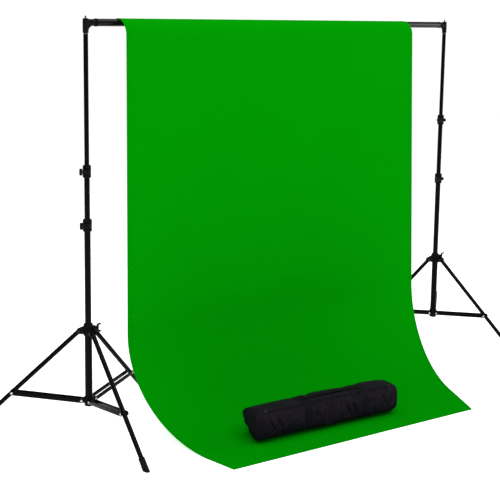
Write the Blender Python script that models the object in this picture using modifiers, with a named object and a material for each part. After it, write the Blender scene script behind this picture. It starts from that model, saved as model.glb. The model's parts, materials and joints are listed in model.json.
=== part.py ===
"""A background support set: two folding light stands, a sectional crossbar, a backdrop cloth that hangs
from the bar and sweeps out over the floor, and the carry bag. Metres, +Z up, the bar along X and the
cloth sweeping towards -Y. The set stands on z = 0 with the middle of its footprint on the origin."""

import math

import bmesh
import bpy
from mathutils import Matrix, Vector

# Setting out
STAND_SPACING = 2.0  # pole to pole
BAR_HEIGHT = 1.488  # floor to the bar's centre line
STAND_TURN = {"left": math.radians(-99.2), "right": math.radians(-82.6)}  # where leg 1 points
MIDDLE_REACH = {"left": 0.194, "right": 0.277}  # middle tube standing out of the base tube

# General fits
GAP = 0.0003  # between pieces that touch or turn on each other
ROUND_STEPS = 16
SMALL_STEPS = 8

# Telescopic tubes
TUBE_WALL = 0.001
BASE_TUBE_RADIUS = 0.0115
MIDDLE_TUBE_RADIUS = 0.010
TOP_TUBE_RADIUS = 0.0085
BASE_TUBE_TOP = 0.790
BASE_TUBE_SEAT = 0.108  # height of the socket floor in the lower hub
MIDDLE_TUBE_LENGTH = 0.660
TOP_TUBE_LENGTH = 0.620
BUSH_LENGTH = 0.012
BUSH_PLUG = 0.020

# Tripod linkage
LEG_COUNT = 3
FOOT_REACH = 0.441  # pole axis to the point where a leg's axis meets the floor
LEG_PIVOT_HEIGHT = 0.382
LEG_PIVOT_REACH = 0.034
BRACE_PIVOT_HEIGHT = 0.122
BRACE_PIVOT_REACH = 0.026
BRACE_SHARE = 0.60  # how far down the leg the brace is riveted
LEG_RADIUS = 0.0085
LEG_WALL = 0.0012
STRIP_HALF_WIDTH = 0.008
STRIP_THICKNESS = 0.0025
RIVET_RADIUS = 0.003
RIVET_HEAD_RADIUS = 0.0048
RIVET_HEAD_HEIGHT = 0.0018
SPACER_RADIUS = 0.0055

# Rubber feet
BOOT_WALL = 0.0027
BOOT_LENGTH = 0.050
BOOT_FLOOR = 0.0145  # rubber between the end of the leg and the floor, along the leg

# Lower hub, column sleeve and leg collar
HUB_RADIUS = 0.0165
HUB_BOTTOM = 0.100
HUB_TOP = 0.137
LUG_ROUNDING = 0.0082
SLEEVE_WALL = 0.0017
COLLAR_RADIUS = 0.0175
COLLAR_BELOW = 0.016  # collar below and above the leg pivots
COLLAR_ABOVE = 0.030
EAR_THICKNESS = 0.0032
EAR_RADIUS = 0.009

# Clamp screws
SCREW_RADIUS = 0.0025
WING_ANGLE = math.radians(60)  # between legs 1 and 2
WING_RISE = 0.014
WING_BOSS_RADIUS = 0.008
WING_BOSS_REACH = 0.026

# Tube locks
LOCK_ANGLE = math.radians(-26)  # the way the clamp bolt's side of the lock faces
LOCK_DEPTH = 0.040
LOCK_LIP = 0.005
LOCK_WALL = 0.0047
LOCK_BOSS_RADIUS = 0.0075
LOCK_BOSS_HALF = 0.0150
KNOB_RADIUS = 0.0130
KNOB_LOBES = 6
KNOB_LOBE_DEPTH = 0.0011
KNOB_WIDTH = 0.0105

# Top stud and the bar's end fittings
SPIGOT_RADIUS = 0.0063
STUD_TIP_RADIUS = 0.0032
STUD_TIP_ABOVE = 0.024  # above the bar's centre line
SOCKET_RADIUS = 0.0105
SOCKET_ABOVE = 0.0145
SOCKET_BELOW = 0.036
SOCKET_ROOF = 0.004
STUB_LENGTH = 0.040
STUB_RADIUS = 0.0122
RING_RADIUS = 0.0145
RING_WIDTH = 0.006

# Crossbar
BAR_RADIUS = 0.0135
BAR_WALL = 0.0012
BAR_SECTIONS = 3
BAR_PLUG = 0.042  # how far one section plugs into the next

# Backdrop cloth
CLOTH_LEFT = -0.865
CLOTH_RIGHT = 0.705
CLOTH_THICKNESS = 0.0012
CLOTH_STANDOFF = 0.055  # the cloth rolls over the bar and hangs this far in front of it
CLOTH_ROLL_DROP = 0.045
CLOTH_BACK_FLAP = 0.013
CLOTH_BEND_HEIGHT = 0.360  # where the hanging part begins to sweep forward
CLOTH_BEND_REACH = 0.450
CLOTH_LEAN = 0.045  # the right side hangs this much further forward at the bend
CLOTH_FRONT_LEFT = (-0.840, -0.620)
CLOTH_FRONT_RIGHT = (0.284, -0.773)

# Carry bag
BAG_LENGTH = 0.655
BAG_WIDTH = 0.128
BAG_HEIGHT = 0.112
BAG_ROUNDING = 0.034
BAG_PLACE = (-0.295, -0.507)
BAG_TURN = math.radians(-9.5)
BAND_WIDTH = 0.025
BAND_THICKNESS = 0.0014
BAND_PLACES = (-0.150, 0.150)
HANDLE_WIDTH = 0.030

# Worked out from the sizes above
LEG_RUN = FOOT_REACH - LEG_PIVOT_REACH
LEG_LENGTH = math.hypot(LEG_RUN, LEG_PIVOT_HEIGHT)
LEG_SLOPE = math.atan2(LEG_RUN, LEG_PIVOT_HEIGHT)
BRACE_RUN = LEG_PIVOT_REACH + BRACE_SHARE * LEG_RUN - BRACE_PIVOT_REACH
BRACE_RISE = LEG_PIVOT_HEIGHT * (1 - BRACE_SHARE) - BRACE_PIVOT_HEIGHT
BRACE_LENGTH = math.hypot(BRACE_RUN, BRACE_RISE)
BRACE_SLOPE = math.atan2(BRACE_RISE, BRACE_RUN)
EAR_INNER = LEG_RADIUS + GAP
EAR_OUTER = EAR_INNER + EAR_THICKNESS
STRIP_INNER = LEG_RADIUS + BOOT_WALL + 2 * GAP  # the folded leg's boot passes between the strips
STRIP_OUTER = STRIP_INNER + STRIP_THICKNESS
STUD_SEAT = BAR_HEIGHT - SOCKET_BELOW - 2 * GAP
STUD_FLANGE = 0.003
TOP_TUBE_TOP = STUD_SEAT - STUD_FLANGE - GAP
BAR_START = STUB_LENGTH + RING_WIDTH + GAP
KNOB_START = LOCK_BOSS_HALF + 2 * GAP


def clear_scene():
    for obj in list(bpy.data.objects):
        bpy.data.objects.remove(obj, do_unlink=True)


def new_collection(name):
    collection = bpy.data.collections.new(name)
    bpy.context.scene.collection.children.link(collection)
    return collection


def new_material(name, colour, roughness, metallic=0.0):
    made = bpy.data.materials.new(name)
    made.use_nodes = True
    shader = made.node_tree.nodes["Principled BSDF"]
    shader.inputs["Base Color"].default_value = (*colour, 1.0)
    shader.inputs["Roughness"].default_value = roughness
    shader.inputs["Metallic"].default_value = metallic
    return made


def place_empty(name, parent=None, location=(0, 0, 0), turn=0.0):
    empty = bpy.data.objects.new(name, None)
    parts.objects.link(empty)
    empty.parent = parent
    empty.location = location
    empty.rotation_euler = (0, 0, turn)
    return empty


def place(name, mesh, slot, parent, location=(0, 0, 0), rotation=(0, 0, 0)):
    """One named piece of the set, on a finished mesh that copies may share."""
    obj = bpy.data.objects.new(name, mesh)
    parts.objects.link(obj)
    obj.parent = parent
    obj.location = location
    obj.rotation_euler = rotation
    if not mesh.materials:
        mesh.materials.append(materials[slot])
    return obj


def helper(name, data):
    """A pattern or cutter: it shapes a piece and never shows."""
    obj = bpy.data.objects.new(name, data)
    cutters.objects.link(obj)
    obj.hide_render = True
    obj.display_type = "WIRE"
    return obj


def finished(obj, matrix=Matrix.Identity(4), sharp=35.0):
    """The helper's evaluated mesh, moved by matrix, welded and shaded smooth."""
    bpy.context.view_layer.update()
    graph = bpy.context.evaluated_depsgraph_get()
    mesh = bpy.data.meshes.new_from_object(obj.evaluated_get(graph), depsgraph=graph)
    mesh.name = obj.name
    mesh.transform(matrix @ obj.matrix_world)
    bm = bmesh.new()
    bm.from_mesh(mesh)
    bmesh.ops.remove_doubles(bm, verts=bm.verts, dist=1e-6)
    bm.to_mesh(mesh)
    bm.free()
    mesh.shade_smooth()
    mesh.set_sharp_from_angle(angle=math.radians(sharp))
    return mesh


def boolean(obj, tool, operation):
    modifier = obj.modifiers.new(operation.title(), "BOOLEAN")
    modifier.operation = operation
    modifier.solver = "EXACT"
    modifier.object = tool


def turned(name, profile, closed=True, steps=ROUND_STEPS):
    """A profile of (radius, height) points swept round Z. It runs down its outer side first."""
    mesh = bpy.data.meshes.new(name)
    edges = [(index, index + 1) for index in range(len(profile) - 1)]
    if closed:
        edges.append((len(profile) - 1, 0))
    mesh.from_pydata([(radius, 0, height) for radius, height in profile], edges, [])
    obj = helper(name, mesh)
    screw = obj.modifiers.new("Turn", "SCREW")
    screw.axis = "Z"
    screw.steps = steps
    screw.render_steps = steps
    screw.use_merge_vertices = True
    screw.merge_threshold = 1e-6
    return obj


def rod(name, radius, start, end, steps=SMALL_STEPS):
    """A solid cylinder between two points."""
    start, end = Vector(start), Vector(end)
    along = end - start
    turn = along.to_track_quat("Z", "Y").to_matrix().to_4x4()
    bm = bmesh.new()
    bmesh.ops.create_cone(
        bm,
        cap_ends=True,
        segments=steps,
        radius1=radius,
        radius2=radius,
        depth=along.length,
        matrix=Matrix.Translation((start + end) / 2) @ turn,
    )
    mesh = bpy.data.meshes.new(name)
    bm.to_mesh(mesh)
    bm.free()
    return helper(name, mesh)


def plate(name, outlines, thickness, matrix=Matrix.Identity(4)):
    """A flat outline in the XZ plane, thickened evenly about y = 0. A second outline is a hole."""
    curve = bpy.data.curves.new(name, "CURVE")
    curve.dimensions = "2D"
    curve.fill_mode = "BOTH"
    curve.extrude = thickness / 2
    for outline in outlines:
        spline = curve.splines.new("POLY")
        spline.points.add(len(outline) - 1)
        spline.use_cyclic_u = True
        for point, (x, z) in zip(spline.points, outline):
            point.co = (x, z, 0, 1)
    drawn = helper(name + "_outline", curve)
    mesh = finished(drawn, matrix @ Matrix.Rotation(math.radians(90), 4, "X"))
    bpy.data.objects.remove(drawn)
    return helper(name, mesh)


def arc(centre, radius, start, end, steps):
    """Points along an arc, angles in degrees."""
    angles = [math.radians(start + (end - start) * step / steps) for step in range(steps + 1)]
    return [(centre[0] + radius * math.cos(a), centre[1] + radius * math.sin(a)) for a in angles]


def tube_profile(outer, inner, top, bottom):
    return [(outer, top), (outer, bottom), (inner, bottom), (inner, top)]


def rivet(name, inside):
    """A rivet along Y with a domed head just beyond each side."""
    head = inside + GAP
    side = [
        (0, head + RIVET_HEAD_HEIGHT),
        (RIVET_HEAD_RADIUS * 0.75, head + RIVET_HEAD_HEIGHT),
        (RIVET_HEAD_RADIUS, head),
        (RIVET_RADIUS, head),
    ]
    profile = side + [(radius, -height) for radius, height in reversed(side)]
    obj = turned(name, profile, closed=False, steps=SMALL_STEPS)
    obj.rotation_euler.x = math.radians(90)
    return obj


def leg_mesh():
    """A tube hanging from its pivot, domed at the top and open at the bottom, with its pivot rivet and the
    two spacers that the brace's strips bear on."""
    end = -(LEG_LENGTH - BOOT_FLOOR - GAP)
    bore = LEG_RADIUS - LEG_WALL
    outside = arc((0, 0), LEG_RADIUS, 90, 0, 3)
    outside[0] = (0, LEG_RADIUS)
    inside = [(bore, end), (bore, -0.009), (0, -0.007)]
    tube = turned("leg_tube", outside + [(LEG_RADIUS, end)] + inside, closed=False, steps=ROUND_STEPS)
    boolean(tube, rivet("leg_rivet", EAR_OUTER), "UNION")
    drop = -BRACE_SHARE * LEG_LENGTH
    spacer = STRIP_INNER - GAP
    for side in (-1, 1):
        start = (0, side * (LEG_RADIUS - LEG_WALL / 2), drop)
        end = (0, side * spacer, drop)
        boolean(tube, rod("spacer", SPACER_RADIUS, start, end), "UNION")
    return finished(tube)


def foot_mesh():
    """A rubber boot on the leg's end, cut flat where it stands on the floor."""
    outer = LEG_RADIUS + BOOT_WALL
    mouth = -(LEG_LENGTH - BOOT_LENGTH)
    seat = -(LEG_LENGTH - BOOT_FLOOR)
    below = -(LEG_LENGTH + outer * math.tan(LEG_SLOPE) + 0.002)
    profile = [
        (LEG_RADIUS + GAP, mouth),
        (outer - 0.001, mouth),
        (outer, mouth - 0.002),
        (outer, below),
        (0, below),
    ]
    boot = turned("boot", [(0, seat), (LEG_RADIUS + GAP, seat)] + profile, closed=False, steps=ROUND_STEPS)
    boot.rotation_euler.y = -LEG_SLOPE
    boot.location.z = LEG_PIVOT_HEIGHT
    side = 2 * FOOT_REACH
    bm = bmesh.new()
    bmesh.ops.create_cube(bm, size=1.0, matrix=Matrix.Diagonal((2 * side, side, 0.2, 1)))
    bmesh.ops.translate(bm, verts=bm.verts, vec=(0, 0, -0.1))
    mesh = bpy.data.meshes.new("floor")
    bm.to_mesh(mesh)
    bm.free()
    boolean(boot, helper("floor", mesh), "DIFFERENCE")
    stand_to_leg = Matrix.Translation((0, 0, LEG_PIVOT_HEIGHT)) @ Matrix.Rotation(-LEG_SLOPE, 4, "Y")
    return finished(boot, stand_to_leg.inverted())


def brace_mesh():
    """Two flat strips either side of the leg, held together by the rivet through the hub's lug."""
    pin = rivet("brace_rivet", STRIP_OUTER - 2 * GAP)
    length = BRACE_LENGTH
    outline = arc((0, 0), STRIP_HALF_WIDTH, 90, 270, 5) + arc((length, 0), STRIP_HALF_WIDTH, -90, 90, 5)
    for side in (-1, 1):
        middle = side * (STRIP_INNER + STRIP_OUTER) / 2
        shift = Matrix.Translation((0, middle, 0))
        boolean(pin, plate("strip", [outline], STRIP_THICKNESS, shift), "UNION")
        start = (length, side * (STRIP_OUTER - STRIP_THICKNESS / 2), 0)
        end = (length, side * (STRIP_OUTER + RIVET_HEAD_HEIGHT), 0)
        boolean(pin, rod("head", RIVET_HEAD_RADIUS, start, end), "UNION")
    return finished(pin)


def hub_mesh():
    """The cup at the foot of the column, with a lug for each brace."""
    bore = BASE_TUBE_RADIUS + GAP
    profile = [
        (0, HUB_BOTTOM),
        (bore, HUB_BOTTOM),
        (HUB_RADIUS, HUB_BOTTOM + 0.004),
        (HUB_RADIUS, HUB_TOP - 0.003),
        (HUB_RADIUS - 0.002, HUB_TOP),
        (bore, HUB_TOP),
        (bore, BASE_TUBE_SEAT),
        (0, BASE_TUBE_SEAT),
    ]
    hub = turned("hub", profile[::-1], closed=False)
    centre = (BRACE_PIVOT_REACH, BRACE_PIVOT_HEIGHT)
    root = bore + 0.001
    outline = arc(centre, LUG_ROUNDING, -90, 90, 5)
    outline += [(root, centre[1] + LUG_ROUNDING), (root, centre[1] - LUG_ROUNDING)]
    for index in range(LEG_COUNT):
        turn = Matrix.Rotation(index * math.tau / LEG_COUNT, 4, "Z")
        boolean(hub, plate("lug", [outline], 2 * (STRIP_INNER - GAP), turn), "UNION")
    for index in range(LEG_COUNT):
        turn = Matrix.Rotation(index * math.tau / LEG_COUNT, 4, "Z")
        start = turn @ Vector((BRACE_PIVOT_REACH, -0.02, BRACE_PIVOT_HEIGHT))
        end = turn @ Vector((BRACE_PIVOT_REACH, 0.02, BRACE_PIVOT_HEIGHT))
        boolean(hub, rod("hole", RIVET_RADIUS + GAP, start, end), "DIFFERENCE")
    return finished(hub)


def collar_mesh():
    """The sliding leg collar, about its own leg pivots' height: a pair of ears for each leg and a screw boss."""
    bore = BASE_TUBE_RADIUS + GAP
    profile = [
        (COLLAR_RADIUS - 0.003, COLLAR_ABOVE),
        (COLLAR_RADIUS, COLLAR_ABOVE - 0.006),
        (COLLAR_RADIUS, -COLLAR_BELOW + 0.002),
        (COLLAR_RADIUS - 0.002, -COLLAR_BELOW),
        (bore, -COLLAR_BELOW),
        (bore, COLLAR_ABOVE),
    ]
    collar = turned("collar", profile)
    root = bore + 0.001
    outline = arc((LEG_PIVOT_REACH, 0), EAR_RADIUS, -90, 80, 5)
    outline += [(root, EAR_RADIUS * 1.9), (root, -EAR_RADIUS)]
    for index in range(LEG_COUNT):
        turn = Matrix.Rotation(index * math.tau / LEG_COUNT, 4, "Z")
        for side in (-1, 1):
            shift = Matrix.Translation((0, side * (EAR_INNER + EAR_OUTER) / 2, 0))
            boolean(collar, plate("ear", [outline], EAR_THICKNESS, turn @ shift), "UNION")
    out = Vector((math.cos(WING_ANGLE), math.sin(WING_ANGLE), 0))
    rise = Vector((0, 0, WING_RISE))
    boss = rod("boss", WING_BOSS_RADIUS, out * root + rise, out * WING_BOSS_REACH + rise)
    boolean(collar, boss, "UNION")
    for index in range(LEG_COUNT):
        turn = Matrix.Rotation(index * math.tau / LEG_COUNT, 4, "Z")
        start = turn @ Vector((LEG_PIVOT_REACH, -0.02, 0))
        end = turn @ Vector((LEG_PIVOT_REACH, 0.02, 0))
        boolean(collar, rod("hole", RIVET_RADIUS + GAP, start, end), "DIFFERENCE")
    start = out * (BASE_TUBE_RADIUS - 0.003) + rise
    end = out * (WING_BOSS_REACH + 0.01) + rise
    boolean(collar, rod("thread", SCREW_RADIUS + GAP, start, end), "DIFFERENCE")
    return finished(collar)


def wing_screw_mesh():
    """A butterfly screw along +Z: its shank starts close to the tube."""
    start = BASE_TUBE_RADIUS + 2 * GAP
    seat = WING_BOSS_REACH + GAP
    profile = [
        (0, seat + 0.012),
        (0.004, seat + 0.012),
        (0.0058, seat + 0.009),
        (0.0058, seat),
        (SCREW_RADIUS, seat),
        (SCREW_RADIUS, start),
        (0, start),
    ]
    screw = turned("wing_screw", profile, closed=False, steps=SMALL_STEPS)
    half = [(0, seat + 0.003), (0.006, seat + 0.003), (0.0155, seat + 0.009)]
    half += arc((0.0135, seat + 0.0165), 0.0032, -30, 120, 3) + [(0.0045, seat + 0.0115)]
    outline = half + [(-x, z) for x, z in reversed(half[1:])]
    boolean(screw, plate("wings", [outline], 0.0042), "UNION")
    return finished(screw)


def lock_mesh(tube_radius, inner_radius, side):
    """A clamp sleeve on a tube's end, about that end. Its bolt lies along Y at the +X side."""
    bore = tube_radius + GAP
    outer = bore + LOCK_WALL
    lip = inner_radius + GAP
    profile = [
        (outer - 0.003, LOCK_LIP),
        (outer, 0),
        (outer, GAP - LOCK_DEPTH + 0.006),
        (outer - 0.0015, -LOCK_DEPTH),
        (bore, -LOCK_DEPTH),
        (bore, GAP),
        (lip, GAP),
        (lip, LOCK_LIP),
    ]
    lock = turned("lock", profile)
    middle = -LOCK_DEPTH * 0.45
    bolt = bolt_reach(tube_radius)
    start = Vector((bolt, -side * (LOCK_BOSS_HALF - 0.002), middle))
    end = Vector((bolt, side * LOCK_BOSS_HALF, middle))
    boolean(lock, rod("boss", LOCK_BOSS_RADIUS, start, end, SMALL_STEPS + 4), "UNION")
    hole_start = start + Vector((0, side * 0.003, 0))
    hole_end = end + Vector((0, side * 0.01, 0))
    boolean(lock, rod("hole", SCREW_RADIUS + GAP, hole_start, hole_end), "DIFFERENCE")
    return finished(lock)


def bolt_reach(tube_radius):
    """How far the clamp bolt's axis stands off the tube's axis."""
    return tube_radius + 3 * GAP + LOCK_BOSS_RADIUS


def knob_mesh():
    """A lobed knob on its bolt, along +Z from the middle of the lock."""
    end = -(LOCK_BOSS_HALF - 0.0055)
    bolt = rod("knob", SCREW_RADIUS, (0, 0, end), (0, 0, KNOB_START + 0.004))
    outline = []
    for step in range(4 * KNOB_LOBES):
        angle = math.tau * step / (4 * KNOB_LOBES)
        radius = KNOB_RADIUS - KNOB_LOBE_DEPTH * (1 - math.cos(KNOB_LOBES * angle))
        outline.append((radius * math.cos(angle), radius * math.sin(angle)))
    lie = Matrix.Translation((0, 0, KNOB_START + KNOB_WIDTH / 2)) @ Matrix.Rotation(math.radians(90), 4, "X")
    head = plate("knob_head", [outline], KNOB_WIDTH, lie)
    boolean(bolt, head, "UNION")
    return finished(bolt)


def bush_mesh(tube_radius, outside_radius):
    """A guide bush plugged into a tube's lower end, its flange running inside the tube below."""
    plug = tube_radius - TUBE_WALL - GAP
    profile = [
        (0, BUSH_PLUG),
        (plug - 0.001, BUSH_PLUG),
        (plug, BUSH_PLUG - 0.001),
        (plug, -GAP),
        (outside_radius, -GAP),
        (outside_radius, -BUSH_LENGTH + 0.001),
        (outside_radius - 0.001, -BUSH_LENGTH),
        (0, -BUSH_LENGTH),
    ]
    return finished(turned("bush", profile, closed=False, steps=ROUND_STEPS))


def stud_mesh():
    """The top stud, in world height: plug, flange, spigot and threaded tip."""
    plug = TOP_TUBE_RADIUS - TUBE_WALL - GAP
    flange = TOP_TUBE_TOP + GAP
    shoulder = BAR_HEIGHT + SOCKET_ABOVE - SOCKET_ROOF - GAP
    tip = BAR_HEIGHT + STUD_TIP_ABOVE
    profile = [
        (0, tip),
        (STUD_TIP_RADIUS - 0.0008, tip),
        (STUD_TIP_RADIUS, tip - 0.001),
        (STUD_TIP_RADIUS, shoulder),
        (SPIGOT_RADIUS, shoulder),
        (SPIGOT_RADIUS, STUD_SEAT),
        (TOP_TUBE_RADIUS, STUD_SEAT),
        (TOP_TUBE_RADIUS, flange),
        (plug, flange),
        (plug, flange - 0.030),
        (0, flange - 0.030),
    ]
    return finished(turned("stud", profile, closed=False, steps=ROUND_STEPS))


def bar_end_mesh():
    """The elbow that drops over the top stud and plugs into the bar, about the pole axis and bar height."""
    face = STUB_LENGTH
    profile = [
        (0, BAR_START + BAR_PLUG),
        (BAR_RADIUS - BAR_WALL - GAP, BAR_START + BAR_PLUG),
        (BAR_RADIUS - BAR_WALL - GAP, face + RING_WIDTH),
        (RING_RADIUS, face + RING_WIDTH),
        (RING_RADIUS, face),
        (STUB_RADIUS, face),
        (STUB_RADIUS, 0.016),
        (SOCKET_RADIUS - 0.0008, 0.004),
        (SOCKET_RADIUS - 0.0008, 0),
        (0, 0),
    ]
    stub = turned("bar_end", profile, closed=False)
    stub.rotation_euler.y = math.radians(90)
    socket_profile = [
        (0, SOCKET_ABOVE),
        (SOCKET_RADIUS - 0.002, SOCKET_ABOVE),
        (SOCKET_RADIUS, SOCKET_ABOVE - 0.002),
        (SOCKET_RADIUS, -SOCKET_BELOW),
        (0, -SOCKET_BELOW),
    ]
    socket = turned("socket", socket_profile, closed=False)
    sweep = SOCKET_BELOW - STUB_RADIUS - 0.003
    centre = (SOCKET_RADIUS - 0.002 + sweep, -STUB_RADIUS + 0.001 - sweep)
    outline = [(0.004, -0.004), (centre[0], -0.004)] + arc(centre, sweep, 90, 180, 5)
    outline += [(0.004, centre[1])]
    boolean(stub, socket, "UNION")
    boolean(stub, plate("gusset", [outline], 0.011), "UNION")
    bore = [
        (0, SOCKET_ABOVE + 0.01),
        (STUD_TIP_RADIUS + GAP, SOCKET_ABOVE + 0.01),
        (STUD_TIP_RADIUS + GAP, SOCKET_ABOVE - SOCKET_ROOF),
        (SPIGOT_RADIUS + GAP, SOCKET_ABOVE - SOCKET_ROOF),
        (SPIGOT_RADIUS + GAP, -SOCKET_BELOW - 0.01),
        (0, -SOCKET_BELOW - 0.01),
    ]
    boolean(stub, turned("stud_bore", bore, closed=False, steps=ROUND_STEPS), "DIFFERENCE")
    return finished(stub)


def bar_section_mesh(length, plugged):
    """One length of bar along +X. All but the last are swaged down at the far end to plug into the next."""
    inner = BAR_RADIUS - BAR_WALL
    if plugged:
        neck = inner - GAP
        profile = [
            (neck, length + BAR_PLUG),
            (neck, length),
            (BAR_RADIUS, length - 0.001),
            (BAR_RADIUS, 0),
            (inner, 0),
            (inner, length - 0.006),
            (neck - BAR_WALL, length - 0.002),
            (neck - BAR_WALL, length + BAR_PLUG),
        ]
    else:
        profile = tube_profile(BAR_RADIUS, inner, length, 0)
    return finished(turned("bar", profile), Matrix.Rotation(math.radians(90), 4, "Y"))


def sheet_object(name, rows, slot, parent):
    """A closed sheet from rows of points, thickened towards its back."""
    bm = bmesh.new()
    grid = [[bm.verts.new(point) for point in row] for row in rows]
    for above, below in zip(grid, grid[1:]):
        for index in range(len(above) - 1):
            bm.faces.new((above[index], below[index], below[index + 1], above[index + 1]))
    mesh = bpy.data.meshes.new(name)
    bm.to_mesh(mesh)
    bm.free()
    mesh.shade_smooth()
    obj = place(name, mesh, slot, parent)
    solid = obj.modifiers.new("Thickness", "SOLIDIFY")
    solid.thickness = CLOTH_THICKNESS
    solid.offset = -1
    return obj


def across(low, high, steps):
    return [low + (high - low) * step / steps for step in range(steps + 1)]


def build_curtain(parent):
    """The hanging cloth: a flap behind the bar, a soft roll over it and the straight drop in front."""
    wrap = BAR_RADIUS + CLOTH_THICKNESS + 2 * GAP
    top = BAR_HEIGHT + wrap
    path = [(wrap, BAR_HEIGHT - CLOTH_BACK_FLAP), (wrap, BAR_HEIGHT - CLOTH_BACK_FLAP / 2)]
    path += [(y, BAR_HEIGHT + z) for y, z in arc((0, 0), wrap, 0, 90, 5)]
    drop = wrap + CLOTH_ROLL_DROP
    for degrees in (18, 36, 54, 72, 90):
        angle = math.radians(degrees)
        path.append((-CLOTH_STANDOFF * math.sin(angle), top - drop * (1 - math.cos(angle))))
    low = CLOTH_BEND_HEIGHT + GAP
    path += [(-CLOTH_STANDOFF, height) for height in across(path[-1][1], low, 6)[1:]]
    straight = path[-7][1]
    rows = []
    for y, z in path:
        lean = CLOTH_LEAN * min(1.0, max(0.0, (straight - z) / (straight - low))) if y < 0 else 0.0
        columns = across(0.0, 1.0, 4)
        rows.append([(CLOTH_LEFT + (CLOTH_RIGHT - CLOTH_LEFT) * u, y - lean * u, z) for u in columns])
    return sheet_object("cloth_curtain", rows, "cloth", parent)


def sweep_rise(out):
    """Height of the sweeping cloth above the floor part, this far forward of the hanging part."""
    across_bend = min(1.0, out / CLOTH_BEND_REACH)
    return (CLOTH_BEND_HEIGHT - CLOTH_THICKNESS) * (1 - math.sqrt(1 - (1 - across_bend) ** 2))


def build_sweep(parent):
    """The cloth from the bend down on to the floor and forward to its front edge."""
    rows = []
    bend = [math.radians(7.5 * step) for step in range(13)]
    columns = across(0.0, 1.0, 6)
    for step in range(len(bend) + 4):
        row = []
        for u in columns:
            start = -CLOTH_STANDOFF - CLOTH_LEAN * u
            front_x = CLOTH_FRONT_LEFT[0] + (CLOTH_FRONT_RIGHT[0] - CLOTH_FRONT_LEFT[0]) * u
            front_y = CLOTH_FRONT_LEFT[1] + (CLOTH_FRONT_RIGHT[1] - CLOTH_FRONT_LEFT[1]) * u
            if step < len(bend):
                out = CLOTH_BEND_REACH * (1 - math.cos(bend[step]))
            else:
                share = (step - len(bend) + 1) / 4
                out = CLOTH_BEND_REACH + (start - CLOTH_BEND_REACH - front_y) * share
            narrowing = out / (start - front_y)
            hung_x = CLOTH_LEFT + (CLOTH_RIGHT - CLOTH_LEFT) * u
            row.append((hung_x + (front_x - hung_x) * narrowing, start - out, CLOTH_THICKNESS + sweep_rise(out)))
        rows.append(row)
    return sheet_object("cloth_sweep", rows, "cloth", parent)


def rounded_rectangle(width, height, radius, steps):
    x, z = width / 2 - radius, height / 2 - radius
    return (
        arc((x, z), radius, 0, 90, steps)
        + arc((-x, z), radius, 90, 180, steps)
        + arc((-x, -z), radius, 180, 270, steps)
        + arc((x, -z), radius, 270, 360, steps)
    )


def build_bag(parent):
    """The carry bag lying on the sweep: a soft box, two webbing bands round it and the grab handle."""
    back_foot = BAG_PLACE[1] - (BAG_LENGTH / 2 - BAG_ROUNDING) * math.sin(BAG_TURN)
    back_foot += (BAG_WIDTH / 2 - BAG_ROUNDING) * math.cos(BAG_TURN)
    rise = sweep_rise(-CLOTH_STANDOFF - back_foot) * 1.25
    lying = CLOTH_THICKNESS + rise + BAND_THICKNESS + 2 * GAP
    bag = place_empty("bag", parent, (*BAG_PLACE, lying + BAG_HEIGHT / 2), BAG_TURN)
    bm = bmesh.new()
    bmesh.ops.create_cube(bm, size=1.0, matrix=Matrix.Diagonal((BAG_LENGTH, BAG_WIDTH, BAG_HEIGHT, 1)))
    mesh = bpy.data.meshes.new("bag_body")
    bm.to_mesh(mesh)
    bm.free()
    box = helper("bag_box", mesh)
    bevel = box.modifiers.new("Round", "BEVEL")
    bevel.width = BAG_ROUNDING
    bevel.segments = 4
    place("bag_body", finished(box), "bag", bag)
    inner = BAG_ROUNDING + GAP
    outer = inner + BAND_THICKNESS
    across_out = 2 * (GAP + BAND_THICKNESS)
    ring = [
        rounded_rectangle(BAG_WIDTH + across_out, BAG_HEIGHT + across_out, outer, 4),
        rounded_rectangle(BAG_WIDTH + 2 * GAP, BAG_HEIGHT + 2 * GAP, inner, 4),
    ]
    band = finished(plate("band", ring, BAND_WIDTH))
    for number, along in enumerate(BAND_PLACES, 1):
        place(f"bag_band_{number}", band, "webbing", bag, (along, 0, 0), (0, 0, math.radians(90)))
    span = BAND_PLACES[1] - BAND_PLACES[0] - BAND_WIDTH - 2 * GAP
    bm = bmesh.new()
    bmesh.ops.create_cube(bm, size=1.0, matrix=Matrix.Diagonal((span, HANDLE_WIDTH, BAND_THICKNESS, 1)))
    mesh = bpy.data.meshes.new("bag_handle")
    bm.to_mesh(mesh)
    bm.free()
    middle = (BAND_PLACES[0] + BAND_PLACES[1]) / 2
    rest = BAG_HEIGHT / 2 + GAP + BAND_THICKNESS / 2
    place("bag_handle", mesh, "webbing", bag, (middle, 0, rest))


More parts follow.
